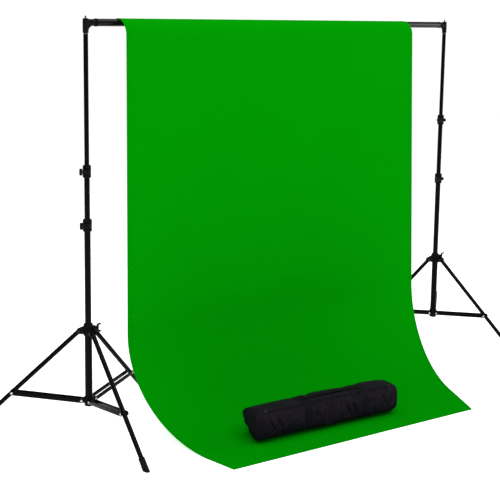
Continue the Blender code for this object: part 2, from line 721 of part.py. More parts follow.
def stand_meshes():
    """The finished meshes that both stands share."""
    return {
        "leg": leg_mesh(),
        "foot": foot_mesh(),
        "brace": brace_mesh(),
        "hub": hub_mesh(),
        "collar": collar_mesh(),
        "wing_screw": wing_screw_mesh(),
        "lower_lock": lock_mesh(BASE_TUBE_RADIUS, MIDDLE_TUBE_RADIUS, -1),
        "upper_lock": lock_mesh(MIDDLE_TUBE_RADIUS, TOP_TUBE_RADIUS, -1),
        "knob": knob_mesh(),
        "middle_bush": bush_mesh(MIDDLE_TUBE_RADIUS, BASE_TUBE_RADIUS - TUBE_WALL - GAP),
        "top_bush": bush_mesh(TOP_TUBE_RADIUS, MIDDLE_TUBE_RADIUS - TUBE_WALL - GAP),
        "stud": stud_mesh(),
        "middle_tube": straight_tube("middle_tube", MIDDLE_TUBE_RADIUS, MIDDLE_TUBE_LENGTH),
        "top_tube": straight_tube("top_tube", TOP_TUBE_RADIUS, TOP_TUBE_LENGTH),
        "base_tube": straight_tube("base_tube", BASE_TUBE_RADIUS, BASE_TUBE_TOP - BASE_TUBE_SEAT - GAP),
        "sleeve": finished(
            turned(
                "sleeve",
                tube_profile(
                    BASE_TUBE_RADIUS + GAP + SLEEVE_WALL,
                    BASE_TUBE_RADIUS + GAP,
                    LEG_PIVOT_HEIGHT - COLLAR_BELOW - GAP,
                    HUB_TOP + GAP,
                ),
            )
        ),
    }


def straight_tube(name, radius, length):
    """A tube hanging down from its top end."""
    return finished(turned(name, tube_profile(radius, radius - TUBE_WALL, 0, -length)))


def build_tripod(side, pole, shared):
    place(f"{side}_lower_hub", shared["hub"], "plastic", pole)
    place(f"{side}_column_sleeve", shared["sleeve"], "paint", pole)
    place(f"{side}_leg_collar", shared["collar"], "plastic", pole, (0, 0, LEG_PIVOT_HEIGHT))
    wing_turn = (0, math.radians(90), WING_ANGLE)
    place(
        f"{side}_collar_screw",
        shared["wing_screw"],
        "plastic",
        pole,
        (0, 0, LEG_PIVOT_HEIGHT + WING_RISE),
        wing_turn,
    )
    for number in range(1, LEG_COUNT + 1):
        azimuth = (number - 1) * math.tau / LEG_COUNT
        out = Vector((math.cos(azimuth), math.sin(azimuth), 0))
        leg_pivot = out * LEG_PIVOT_REACH + Vector((0, 0, LEG_PIVOT_HEIGHT))
        brace_pivot = out * BRACE_PIVOT_REACH + Vector((0, 0, BRACE_PIVOT_HEIGHT))
        leg_turn = (0, -LEG_SLOPE, azimuth)
        place(f"{side}_leg_{number}", shared["leg"], "paint", pole, leg_pivot, leg_turn)
        place(f"{side}_foot_{number}", shared["foot"], "rubber", pole, leg_pivot, leg_turn)
        brace_turn = (0, -BRACE_SLOPE, azimuth)
        place(f"{side}_brace_{number}", shared["brace"], "paint", pole, brace_pivot, brace_turn)


def build_lock(side, name, pole, shared, tube_radius, height, knob_side):
    place(f"{side}_{name}_lock", shared[f"{name}_lock"], "plastic", pole, (0, 0, height), (0, 0, LOCK_ANGLE))
    out = Vector((math.cos(LOCK_ANGLE), math.sin(LOCK_ANGLE), 0)) * bolt_reach(tube_radius)
    centre = out + Vector((0, 0, height - LOCK_DEPTH * 0.45))
    turn = (math.radians(-90 * knob_side), 0, LOCK_ANGLE)
    place(f"{side}_{name}_knob", shared["knob"], "plastic", pole, centre, turn)


def build_stand(side, pole, shared):
    build_tripod(side, pole, shared)
    middle_top = BASE_TUBE_TOP + MIDDLE_REACH[side]
    place(f"{side}_base_tube", shared["base_tube"], "paint", pole, (0, 0, BASE_TUBE_TOP))
    build_lock(side, "lower", pole, shared, BASE_TUBE_RADIUS, BASE_TUBE_TOP, -1)
    place(f"{side}_middle_tube", shared["middle_tube"], "paint", pole, (0, 0, middle_top))
    bush_height = middle_top - MIDDLE_TUBE_LENGTH
    place(f"{side}_middle_bush", shared["middle_bush"], "plastic", pole, (0, 0, bush_height))
    build_lock(side, "upper", pole, shared, MIDDLE_TUBE_RADIUS, middle_top, -1)
    place(f"{side}_top_tube", shared["top_tube"], "paint", pole, (0, 0, TOP_TUBE_TOP))
    bush_height = TOP_TUBE_TOP - TOP_TUBE_LENGTH
    place(f"{side}_top_bush", shared["top_bush"], "plastic", pole, (0, 0, bush_height))
    place(f"{side}_top_stud", shared["stud"], "steel", pole)


def build_crossbar(parent):
    half = STAND_SPACING / 2
    elbow = bar_end_mesh()
    place("left_bar_end", elbow, "plastic", parent, (-half, 0, BAR_HEIGHT))
    place("right_bar_end", elbow, "plastic", parent, (half, 0, BAR_HEIGHT), (0, 0, math.pi))
    start = -half + BAR_START
    length = (STAND_SPACING - 2 * BAR_START - (BAR_SECTIONS - 1) * GAP) / BAR_SECTIONS
    plugged = bar_section_mesh(length, True)
    plain = bar_section_mesh(length, False)
    for number in range(1, BAR_SECTIONS + 1):
        mesh = plain if number == BAR_SECTIONS else plugged
        along = start + (number - 1) * (length + GAP)
        place(f"bar_section_{number}", mesh, "bar_paint", parent, (along, 0, BAR_HEIGHT))


def set_down(setting_out):
    """Moves the whole set so that the middle of its footprint is on the origin."""
    bpy.context.view_layer.update()
    graph = bpy.context.evaluated_depsgraph_get()
    low, high = Vector((9, 9, 9)), Vector((-9, -9, -9))
    for obj in parts.objects:
        if obj.type != "MESH":
            continue
        evaluated = obj.evaluated_get(graph)
        for vertex in evaluated.data.vertices:
            point = evaluated.matrix_world @ vertex.co
            low = Vector(map(min, low, point))
            high = Vector(map(max, high, point))
    middle = (low + high) / 2
    setting_out.location = (-middle.x, -middle.y, 0)
    bpy.context.view_layer.update()


clear_scene()
parts = new_collection("background_support")
cutters = new_collection("cutters")
materials = {
    "paint": new_material("paint", (0.022, 0.021, 0.023), 0.38, 0.35),
    "bar_paint": new_material("bar_paint", (0.035, 0.034, 0.037), 0.30, 0.45),
    "plastic": new_material("plastic", (0.018, 0.018, 0.019), 0.45),
    "rubber": new_material("rubber", (0.015, 0.015, 0.015), 0.80),
    "steel": new_material("steel", (0.10, 0.10, 0.10), 0.35, 0.9),
    "cloth": new_material("cloth", (0.0, 0.283, 0.0), 0.90),
    "bag": new_material("bag", (0.012, 0.010, 0.014), 0.62),
    "webbing": new_material("webbing", (0.016, 0.014, 0.018), 0.70),
}
footprint = place_empty("footprint")
meshes = stand_meshes()
for stand_side, sign in (("left", -1), ("right", 1)):
    stand_pole = place_empty(
        f"{stand_side}_pole", footprint, (sign * STAND_SPACING / 2, 0, 0), STAND_TURN[stand_side]
    )
    build_stand(stand_side, stand_pole, meshes)
build_crossbar(footprint)
build_curtain(footprint)
build_sweep(footprint)
build_bag(footprint)
for leftover in list(cutters.objects):
    bpy.data.objects.remove(leftover)
set_down(footprint)
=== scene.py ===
import json
import math

import bmesh
import bpy
from mathutils import Matrix, Vector, noise
from mathutils.bvhtree import BVHTree


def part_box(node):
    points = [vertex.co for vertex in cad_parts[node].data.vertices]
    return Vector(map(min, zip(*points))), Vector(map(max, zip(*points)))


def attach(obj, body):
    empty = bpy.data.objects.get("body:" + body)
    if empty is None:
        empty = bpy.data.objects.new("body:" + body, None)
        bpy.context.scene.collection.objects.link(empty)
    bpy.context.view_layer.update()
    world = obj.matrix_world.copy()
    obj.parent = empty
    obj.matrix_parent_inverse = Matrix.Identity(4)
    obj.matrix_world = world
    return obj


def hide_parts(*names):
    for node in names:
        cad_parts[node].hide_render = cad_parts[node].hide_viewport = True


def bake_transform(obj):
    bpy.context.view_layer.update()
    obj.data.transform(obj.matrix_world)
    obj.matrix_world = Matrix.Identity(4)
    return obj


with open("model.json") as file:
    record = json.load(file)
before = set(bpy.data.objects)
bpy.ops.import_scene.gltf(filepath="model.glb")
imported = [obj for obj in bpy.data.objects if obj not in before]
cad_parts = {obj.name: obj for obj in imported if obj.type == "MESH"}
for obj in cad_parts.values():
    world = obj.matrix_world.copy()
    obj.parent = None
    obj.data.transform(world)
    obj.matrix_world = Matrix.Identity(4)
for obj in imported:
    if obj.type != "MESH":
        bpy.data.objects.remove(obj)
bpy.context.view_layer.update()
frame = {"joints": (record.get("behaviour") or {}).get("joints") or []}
joints = {joint["name"]: joint for joint in frame["joints"]}
up = Vector((0, 0, 1))
flat = Matrix.Identity(4)
print("frame loaded")


def middleOf(node):
    low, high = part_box(node)
    return (low + high) / 2


poles = {side: middleOf(f"{side}_base_tube") * Vector((1, 1, 0)) for side in ("left", "right")}
betweenPoles = (poles["left"] + poles["right"]) / 2
barHeight = middleOf("bar_section_1").z


class Flow:
    # a socket that can be added, multiplied and so on
    def __init__(self, finish, socket):
        self.finish = finish
        self.socket = socket

    def maths(self, operation, *values):
        return self.finish.add("ShaderNodeMath", {"operation": operation}, dict(enumerate(values)))

    def __add__(self, other):
        return self.maths("ADD", self, other)

    def __radd__(self, other):
        return self.maths("ADD", other, self)

    def __sub__(self, other):
        return self.maths("SUBTRACT", self, other)

    def __rsub__(self, other):
        return self.maths("SUBTRACT", other, self)

    def __mul__(self, other):
        return self.maths("MULTIPLY", self, other)

    def __rmul__(self, other):
        return self.maths("MULTIPLY", other, self)

    def __truediv__(self, other):
        return self.maths("DIVIDE", self, other)

    def size(self):
        return self.maths("ABSOLUTE", self)

    def wave(self):
        return self.maths("SINE", self)

    def under(self, limit):
        return self.maths("LESS_THAN", self, limit)

    def over(self, limit):
        return self.maths("GREATER_THAN", self, limit)


class Finish:
    # one material: add() makes any node, surface() feeds the shader
    def __init__(self, name):
        self.material = bpy.data.materials.new(name)
        self.material.use_nodes = True
        self.tree = self.material.node_tree
        self.shader = self.tree.nodes["Principled BSDF"]

    def feed(self, socket, value):
        if isinstance(value, Flow):
            self.tree.links.new(value.socket, socket)
        else:
            socket.default_value = value

    def add(self, kind, settings=None, values=None, output=0):
        node = self.tree.nodes.new(kind)
        for key, value in (settings or {}).items():
            setattr(node, key, value)
        for key, value in (values or {}).items():
            self.feed(node.inputs[key], value)
        return Flow(self, node.outputs[output])

    def surface(self, values):
        for key, value in values.items():
            self.feed(self.shader.inputs[key], value)

    def place(self, scale=(1, 1, 1), turn=(0, 0, 0)):
        # object coordinates, in metres
        point = self.add("ShaderNodeTexCoord", output=3)
        return self.add("ShaderNodeMapping", None, {"Vector": point, "Scale": scale, "Rotation": turn})

    def grain(self, vector, scale, detail=2.0, rough=0.5):
        return self.add(
            "ShaderNodeTexNoise", None, {
                "Vector": vector, "Scale": scale, "Detail": detail, "Roughness": rough
            }
        )

    def split(self, vector):
        node = self.tree.nodes.new("ShaderNodeSeparateXYZ")
        self.feed(node.inputs[0], vector)
        return [Flow(self, socket) for socket in node.outputs]

    def uv(self, name):
        return self.add("ShaderNodeUVMap", {"uv_map": name})

    def span(self, value, low, high, outLow=0.0, outHigh=1.0):
        values = {0: value, 1: low, 2: high, 3: outLow, 4: outHigh}
        return self.add("ShaderNodeMapRange", {"interpolation_type": "SMOOTHSTEP"}, values)

    def between(self, share, first, second):
        # a colour between two colours
        colours = [(*c, 1.0) if isinstance(c, tuple) and len(c) == 3 else c for c in (first, second)]
        values = {0: share, 6: colours[0], 7: colours[1]}
        return self.add("ShaderNodeMix", {"data_type": "RGBA"}, values, output=2)

    def bump(self, height, strength, distance):
        values = {"Height": height, "Strength": strength, "Distance": distance}
        return self.add("ShaderNodeBump", None, values)


def blackPaint(name, dark, light, rough, gloss, along=(220, 220, 4)):
    # baked enamel: orange peel, faint rub marks along the tube, and uneven gloss
    finish = Finish(name)
    point = finish.place()
    peel = finish.grain(point, 1500, 1.0)
    broad = finish.grain(point, 9, 3.0)
    rubs = finish.span(finish.grain(finish.place(along), 1.0, 3.0), 0.56, 0.72)
    specks = finish.span(finish.grain(point, 420, 2.0), 0.70, 0.76)
    colour = finish.between(broad, dark, light)
    colour = finish.between(rubs * 0.35, colour, tuple(2.2 * c for c in light))
    colour = finish.between(specks * 0.25, colour, tuple(3.0 * c for c in light))
    finish.surface(
        {
            "Base Color": colour,
            "Roughness": rough + 0.10 * (broad - 0.5) + 0.10 * rubs,
            "Specular IOR Level": gloss,
            "Normal": finish.bump(peel, 0.10, 0.0003),
        }
    )
    return finish.material


def mouldedBlack():
    # glass-filled nylon with a spark-eroded texture, polished a little where hands touch it
    finish = Finish("moulded_black")
    point = finish.place()
    fine = finish.grain(point, 1900, 2.0, 0.7)
    broad = finish.grain(point, 60, 3.0)
    worn = finish.span(broad, 0.55, 0.72)
    pits = finish.add("ShaderNodeTexVoronoi", None, {"Vector": point, "Scale": 1300.0})
    finish.surface(
        {
            "Base Color": finish.between(worn, (0.0014, 0.0014, 0.0016), (0.0048, 0.0047, 0.0049)),
            "Roughness": 0.52 - 0.13 * worn + 0.08 * (fine - 0.5),
            "Specular IOR Level": 0.08,
            "Normal": finish.bump(fine + 0.5 * pits, 0.22, 0.00025),
        }
    )
    return finish.material


def footRubber():
    finish = Finish("foot_rubber")
    point = finish.place()
    fine = finish.grain(point, 1100, 3.0, 0.7)
    dust = finish.span(finish.grain(point, 85, 4.0), 0.50, 0.75)
    low = finish.span(finish.split(point)[2], 0.0, 0.02, 1.0, 0.25)
    dusty = dust * low
    finish.surface(
        {
            "Base Color": finish.between(dusty * 0.5, (0.0040, 0.0040, 0.0043), (0.040, 0.038, 0.035)),
            "Roughness": 0.78 + 0.14 * dusty,
            "Specular IOR Level": 0.08,
            "Normal": finish.bump(fine, 0.30, 0.0003),
        }
    )
    return finish.material


def plated(name, colour, rough, brush):
    finish = Finish(name)
    point = finish.place(brush)
    lines = finish.grain(point, 1.0, 3.0)
    stain = finish.span(finish.grain(finish.place(), 140, 3.0), 0.45, 0.75)
    finish.surface(
        {
            "Base Color": finish.between(stain, colour, tuple(0.72 * c for c in colour)),
            "Metallic": 1.0,
            "Roughness": rough + 0.12 * stain + 0.08 * (lines - 0.5),
            "Normal": finish.bump(lines, 0.12, 0.0002),
        }
    )
    return finish.material


def backdropCloth():
    # plain-woven cotton: threads from the cloth's own map, slubs, the stitched hem, and painted shade along the
    # folded edge
    finish = Finish("backdrop_cloth")
    across, along, _ = finish.split(finish.uv("weave"))
    point = finish.uv("weave")
    warp = (across * (math.tau / 0.0011)).wave()
    weft = (along * (math.tau / 0.0011)).wave()
    threads = warp * weft
    slubPlace = finish.add("ShaderNodeMapping", None, {"Vector": point, "Scale": (700, 30, 1)})
    slubs = finish.span(finish.grain(slubPlace, 1.0, 2.0), 0.58, 0.75)
    broad = finish.grain(point, 2.6, 4.0, 0.6)
    edge, run, _ = finish.split(finish.uv("hem"))
    inHem = edge.under(0.0185)
    line = (edge - 0.0160).size().under(0.0007)
    dash = (run * (math.tau / 0.0045)).wave().over(-0.35)
    stitch = line * dash
    # painted shade: the outermost 2.2 mm of cloth is darkened, standing in for the shade where the cloth turns
    # over at its edge
    fold = finish.span(edge, 0.0, 0.0022, 1.0, 0.0)
    colour = finish.between(broad, (0.0, 0.232, 0.0004), (0.0, 0.250, 0.0006))
    colour = finish.between(slubs * 0.10, colour, (0.006, 0.33, 0.006))
    colour = finish.between(inHem * 0.10, colour, (0.0, 0.20, 0.0))
    colour = finish.between(stitch * 0.45, colour, (0.0, 0.12, 0.001))
    # mixes the painted edge shade into the green
    colour = finish.between(fold * 0.35, colour, (0.0, 0.13, 0.001))
    height = 0.5 * threads + 0.6 * slubs - 1.6 * stitch
    finish.surface(
        {
            "Base Color": colour,
            "Roughness": 0.88 + 0.05 * (broad - 0.5),
            "Specular IOR Level": 0.006,
            "Sheen Weight": 0.01,
            "Sheen Roughness": 0.5,
            "Sheen Tint": (0.0, 1.0, 0.0, 1.0),
            "Normal": finish.bump(height, 0.10, 0.0003),
        }
    )
    return finish.material


def bagNylon():
    # close-woven nylon, near black with a violet cast
    finish = Finish("bag_nylon")
    x, y, z = finish.split(finish.place(turn=(0, 0, -bag["turn"])))
    warp = (x * (math.tau / 0.0014)).wave()
    weft = ((y + z) * (math.tau / 0.0014)).wave()
    point = finish.place()
    broad = finish.grain(point, 16, 4.0, 0.6)
    scuff = finish.span(finish.grain(finish.place((6, 6, 30)), 3.0, 4.0), 0.55, 0.72)
    dust = finish.span(finish.grain(point, 260, 3.0), 0.60, 0.76)
    colour = finish.between(broad, (0.0046, 0.0028, 0.0060), (0.0110, 0.0078, 0.0142))
    colour = finish.between(scuff * 0.22, colour, (0.022, 0.016, 0.029))
    colour = finish.between(dust * 0.12, colour, (0.040, 0.032, 0.046))
    finish.surface(
        {
            "Base Color": colour,
            "Roughness": 0.60 + 0.12 * (broad - 0.5) + 0.08 * scuff,
            "Specular IOR Level": 0.05,
            "Sheen Weight": 0.006,
            "Sheen Roughness": 0.4,
            "Sheen Tint": (0.75, 0.68, 0.85, 1.0),
            "Normal": finish.bump(warp * weft + 0.6 * broad, 0.35, 0.00035),
        }
    )
    return finish.material


def webbingWeave():
    # flat webbing: ribs across and darker rows along, from the strap's own map
    finish = Finish("webbing")
    across, along, _ = finish.split(finish.uv("weave"))
    rib = (along * (math.tau / 0.0021)).wave()
    row = (across * (math.tau / 0.0031)).wave()
    point = finish.place()
    fuzz = finish.grain(point, 900, 3.0)
    colour = finish.between(fuzz, (0.0024, 0.0018, 0.0032), (0.0072, 0.0058, 0.0090))
    colour = finish.between(row.over(0.5) * 0.35, colour, (0.0020, 0.0016, 0.0026))
    finish.surface(
        {
            "Base Color": colour,
            "Roughness": 0.72 + 0.1 * (fuzz - 0.5),
            "Specular IOR Level": 0.07,
            "Normal": finish.bump(rib * row + 0.4 * fuzz, 0.45, 0.0005),
        }
    )
    return finish.material


def turned(points, steps=48, closed=False):
    # a profile of (radius, height) spun round Z
    shape = bmesh.new()
    verts = [shape.verts.new((radius, 0, height)) for radius, height in points]
    edges = [shape.edges.new(pair) for pair in zip(verts, verts[1:])]
    if closed:
        edges.append(shape.edges.new((verts[-1], verts[0])))
    bmesh.ops.spin(
        shape, geom=verts + edges, cent=(
            0, 0, 0
        ), axis=(0, 0, 1), angle=math.tau, steps=steps, use_merge=True
    )
    bmesh.ops.remove_doubles(shape, verts=shape.verts, dist=1e-6)
    bmesh.ops.recalc_face_normals(shape, faces=shape.faces)
    return shape


def rod(radius, start, end, steps=24):
    start, end = Vector(start), Vector(end)
    along = end - start
    place = Matrix.Translation((start + end) / 2) @ along.to_track_quat("Z", "Y").to_matrix().to_4x4()
    shape = bmesh.new()
    bmesh.ops.create_cone(
        shape, cap_ends=True, segments=steps, radius1=radius, radius2=radius,
        depth=along.length, matrix=place,
    )
    return shape


def block(size, centre=(0, 0, 0)):
    shape = bmesh.new()
    bmesh.ops.create_cube(
        shape, size=1.0, matrix=Matrix.Translation(centre) @ Matrix.Diagonal((*size, 1))
    )
    return shape


def plate(outline, low, high):
    # an outline in the XZ plane, given thickness along Y
    shape = bmesh.new()
    face = shape.faces.new([shape.verts.new((x, low, z)) for x, z in outline])
    made = bmesh.ops.extrude_face_region(shape, geom=[face])
    moved = [item for item in made["geom"] if isinstance(item, bmesh.types.BMVert)]
    bmesh.ops.translate(shape, verts=moved, vec=(0, high - low, 0))
    bmesh.ops.recalc_face_normals(shape, faces=shape.faces)
    return shape


def softened(shape, width, segments=2, angle=35):
    limit = math.radians(angle)
    sharp = [edge for edge in shape.edges if edge.is_manifold and edge.calc_face_angle(0) > limit]
    bmesh.ops.bevel(
        shape,
        geom=sharp,
        offset=width,
        offset_type="OFFSET",
        affect="EDGES",
        segments=segments,
        profile=0.5,
        material=-1,
        clamp_overlap=True,
    )
    return shape


def arc(centre, radius, start, end, steps):
    angles = [math.radians(start + (end - start) * step / steps) for step in range(steps + 1)]
    return [(centre[0] + radius * math.cos(a), centre[1] + radius * math.sin(a)) for a in angles]


def linked(name, data):
    made = bpy.data.objects.new(name, data)
    bpy.context.scene.collection.objects.link(made)
    return made


def gather(piece, shape, place=flat, finish=0):
    for face in shape.faces:
        face.material_index = finish
    bmesh.ops.transform(shape, matrix=place, verts=shape.verts)
    scratch = bpy.data.meshes.new("scratch")
    shape.to_mesh(scratch)
    shape.free()
    piece.from_mesh(scratch)
    bpy.data.meshes.remove(scratch)


def finishPiece(name, shape, finishes, body, nodes, smooth=38):
    mesh = bpy.data.meshes.new(name)
    shape.to_mesh(mesh)
    shape.free()
    mesh.shade_smooth()
    mesh.set_sharp_from_angle(angle=math.radians(smooth))
    for finish in finishes:
        mesh.materials.append(finish)
    piece = linked(name, mesh)
    if body:
        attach(piece, body)
    if nodes:
        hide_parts(*nodes)
    return piece


def single(node, shape, place, finish, body):
    # a piece made of one shape
    piece = bmesh.new()
    gather(piece, shape, place)
    finishPiece(f"{node}_drawn", piece, [finish], body, [node])


def curveMesh(points, radius, cyclic=False, sides=3):
    # a round cord along points, as a mesh
    curve = bpy.data.curves.new("line", "CURVE")
    curve.dimensions = "3D"
    curve.bevel_depth = radius
    curve.bevel_resolution = sides
    curve.use_fill_caps = not cyclic
    spline = curve.splines.new("POLY")
    spline.points.add(len(points) - 1)
    spline.use_cyclic_u = cyclic
    for target, point in zip(spline.points, points):
        target.co = (*point, 1)
    drawn = linked("line", curve)
    graph = bpy.context.evaluated_depsgraph_get()
    mesh = bpy.data.meshes.new_from_object(drawn.evaluated_get(graph), depsgraph=graph)
    shape = bmesh.new()
    shape.from_mesh(mesh)
    bmesh.ops.remove_doubles(shape, verts=shape.verts, dist=1e-6)
    bmesh.ops.recalc_face_normals(shape, faces=shape.faces)
    bpy.data.objects.remove(drawn)
    bpy.data.meshes.remove(mesh)
    bpy.data.curves.remove(curve)
    return shape


def rivetHead(radius, height):
    angles = [math.radians(angle) for angle in (90, 68, 46, 24, 0)]
    dome = [(radius * math.cos(a), height * math.sin(a)) for a in angles]
    dome[0] = (0, height)
    return turned(dome + [(radius, -0.0004), (0, -0.0004)], 24)


def rivet(shape, place, along, out):
    # a rivet head that far along X, facing out along Y
    lift = Matrix.Translation((along, out, 0)) @ Matrix.Rotation(
        math.radians(math.copysign(90, -out)), 4, "X"
    )
    gather(shape, rivetHead(stand["rivet"], stand["rivetHeight"]), place @ lift, 1)


bag = dict(
    inset=0.0006, piping=0.0017, handleLift=0.0018, handleArch=0.0035, zipAngle=0.86, zipHalf=0.283,
    creaseDeep=0.0066, creaseLip=0.0022, mostMove=0.009,
    length=0.655, width=0.128, height=0.112, turn=math.radians(-9.5), bands=(
        -0.100, 0.165
    ), bandWidth=0.025,
    handleWidth=0.028, webbing=0.0014,
)
paint = blackPaint("stand_enamel", (0.0005, 0.0004, 0.0006), (0.0012, 0.0011, 0.0013), 0.27, 0.055)
barPaint = blackPaint(
    "bar_enamel", (0.0012, 0.0011, 0.0013), (0.0032, 0.0031, 0.0034), 0.22, 0.16, (4, 220, 220)
)
plastic = mouldedBlack()
rubber = footRubber()
rivetSteel = plated("rivet_steel", (0.56, 0.55, 0.53), 0.28, (900, 900, 900))
studSteel = plated("stud_steel", (0.115, 0.112, 0.110), 0.33, (60, 60, 1800))
darkSteel = plated("dark_steel", (0.030, 0.029, 0.028), 0.36, (900, 900, 900))
screwSteel = plated("screw_steel", (0.30, 0.295, 0.29), 0.34, (700, 700, 700))
clothGreen = backdropCloth()
nylon = bagNylon()
webbing = webbingWeave()
print("finishes made")


stand = dict(
    baseRadius=0.0115, middleRadius=0.010, topRadius=0.0085, wall=0.001, gap=0.0003,
    legRadius=0.0085, legReach=0.034, legPivot=0.382, footReach=0.441, hubPivot=0.122, hubReach=0.026,
    pin=0.003, rivet=0.0048, rivetHeight=0.0018,
    earInner=0.0088, earThick=0.0032, earRadius=0.009, stripInner=0.0118, strip=0.0025, stripHalf=0.008,
    boot=0.0112, bootLength=0.050, bootFloor=0.0145, braceShare=0.60,
    collarRadius=0.0175, hubRadius=0.0165, sleeveRadius=0.0135,
    lockLip=0.005, lockWall=0.0047, boss=0.0075, bossHalf=0.0150,
    knobRadius=0.0130, knobWidth=0.0105, lobes=6, spigot=0.0063, tip=0.0032,
)


def tubeShape(outer, inner, low, high, steps=56):
    rim = 0.0003
    profile = [
        (inner, high - rim), (inner + rim, high), (outer - rim, high), (outer, high - rim),
        (outer, low + rim), (outer - rim, low), (inner + rim, low), (inner, low + rim),
    ]
    return turned(profile, steps, closed=True)


def poleTube(side, part, radius, body):
    node = f"{side}_{part}_tube"
    low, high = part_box(node)
    tube = tubeShape(radius, radius - stand["wall"], low.z, high.z)
    single(node, tube, Matrix.Translation(poles[side]), paint, body)


def legFrame(side, number, part):
    # the piece's own frame in the stand: X out from the pole, Y along the pivot, Z up
    joint = joints[f"{side}_{part}_{number}_fold"]
    y = Vector(joint["axis"]) * (1 if part == "leg" else -1)
    x = y.cross(up)
    turn = Matrix((x, y, up)).transposed().to_4x4()
    return Matrix.Translation(joint["pos_m"]) @ turn


def legTilt():
    run = stand["footReach"] - stand["legReach"]
    return math.atan2(run, stand["legPivot"]), math.hypot(run, stand["legPivot"])


def makeLeg(side, number):
    slope, length = legTilt()
    place = legFrame(side, number, "leg") @ Matrix.Rotation(-slope, 4, "Y")
    radius = stand["legRadius"]
    end = -(length - stand["bootFloor"] - stand["gap"])
    shape = bmesh.new()
    dome = arc((0, 0), radius, 75, 0, 5)
    gather(
        shape,
        turned([(0, radius), *dome, (radius, end), (radius - 0.0012, end), (0, end + 0.001)], 40),
        place,
    )
    # spacers either side of the brace pivot
    drop = -stand["braceShare"] * length
    for flip in (-1, 1):
        start, finish = flip * (radius - 0.001), flip * (stand["stripInner"] - stand["gap"])
        spacer = rod(0.0055, (0, start, drop), (0, finish, drop))
        gather(shape, softened(spacer, 0.0004), place)
    pin = stand["earInner"] + stand["earThick"] + stand["gap"]
    gather(shape, rod(stand["pin"], (0, -pin, 0), (0, pin, 0)), place, 1)
    for flip in (-1, 1):
        rivet(shape, place, 0, flip * pin)
    finishPiece(
        f"{side}_leg_{number}_drawn", shape, [paint, darkSteel], f"{side}_leg_{number}",
        [f"{side}_leg_{number}"],
    )

    # rubber boot: a rolled mouth, three grip rings, and a sole cut level with the floor
    mouth = -(length - stand["bootLength"])
    seat = -(length - stand["bootFloor"])
    below = -(length + 0.0145)
    outer = stand["boot"]
    profile = [
        (0, seat), (radius + 0.0003, seat), (radius + 0.0003, mouth), (outer - 0.0012, mouth + 0.0002)
    ]
    profile += arc((outer - 0.0012, mouth - 0.0012), 0.0012, 90, 0, 4)
    for ring in range(3):
        level = mouth - 0.009 - 0.0065 * ring
        profile += [
            (outer, level), (outer - 0.0007, level - 0.0008), (outer - 0.0007, level - 0.0022),
            (outer, level - 0.003),
        ]
    profile += [(outer, below), (0, below)]
    boot = turned(profile, 40)
    bmesh.ops.transform(boot, matrix=place, verts=boot.verts)
    cut = bmesh.ops.bisect_plane(
        boot, geom=[*boot.verts, *boot.edges, *boot.faces], plane_co=(0, 0, 0), plane_no=(0, 0, -1),
        clear_outer=True,
    )
    rim = [item for item in cut["geom_cut"] if isinstance(item, bmesh.types.BMEdge)]
    bmesh.ops.holes_fill(boot, edges=rim)
    bmesh.ops.recalc_face_normals(boot, faces=boot.faces)
    shape = bmesh.new()
    gather(shape, boot)
    finishPiece(
        f"{side}_foot_{number}_drawn", shape, [rubber], f"{side}_leg_{number}",
        [f"{side}_foot_{number}"], 50,
    )


def makeBrace(side, number):
    legRun = stand["footReach"] - stand["legReach"]
    run = stand["legReach"] + stand["braceShare"] * legRun - stand["hubReach"]
    rise = stand["legPivot"] * (1 - stand["braceShare"]) - stand["hubPivot"]
    reach = math.hypot(run, rise)
    place = legFrame(side, number, "brace") @ Matrix.Rotation(-math.atan2(rise, run), 4, "Y")
    half = stand["stripHalf"]
    outline = arc((0, 0), half, 90, 270, 14) + arc((reach, 0), half, -90, 90, 14)
    inner, outer = stand["stripInner"], stand["stripInner"] + stand["strip"]
    shape = bmesh.new()
    for flip in (-1, 1):
        strip = plate(outline, min(flip * inner, flip * outer), max(flip * inner, flip * outer))
        gather(shape, softened(strip, 0.0007), place)
        # a shallow pressed rib stiffens each strip
        crest = flip * (outer - 0.0006)
        gather(
            shape, softened(rod(0.0016, (0.022, crest, 0), (reach - 0.022, crest, 0), 20), 0.0006),
            place,
        )
        for along in (0, reach):
            rivet(shape, place, along, flip * outer)
    gather(shape, rod(stand["pin"], (0, -outer, 0), (0, outer, 0)), place, 1)
    node = f"{side}_brace_{number}"
    finishPiece(f"{node}_drawn", shape, [paint, rivetSteel], node, [node])


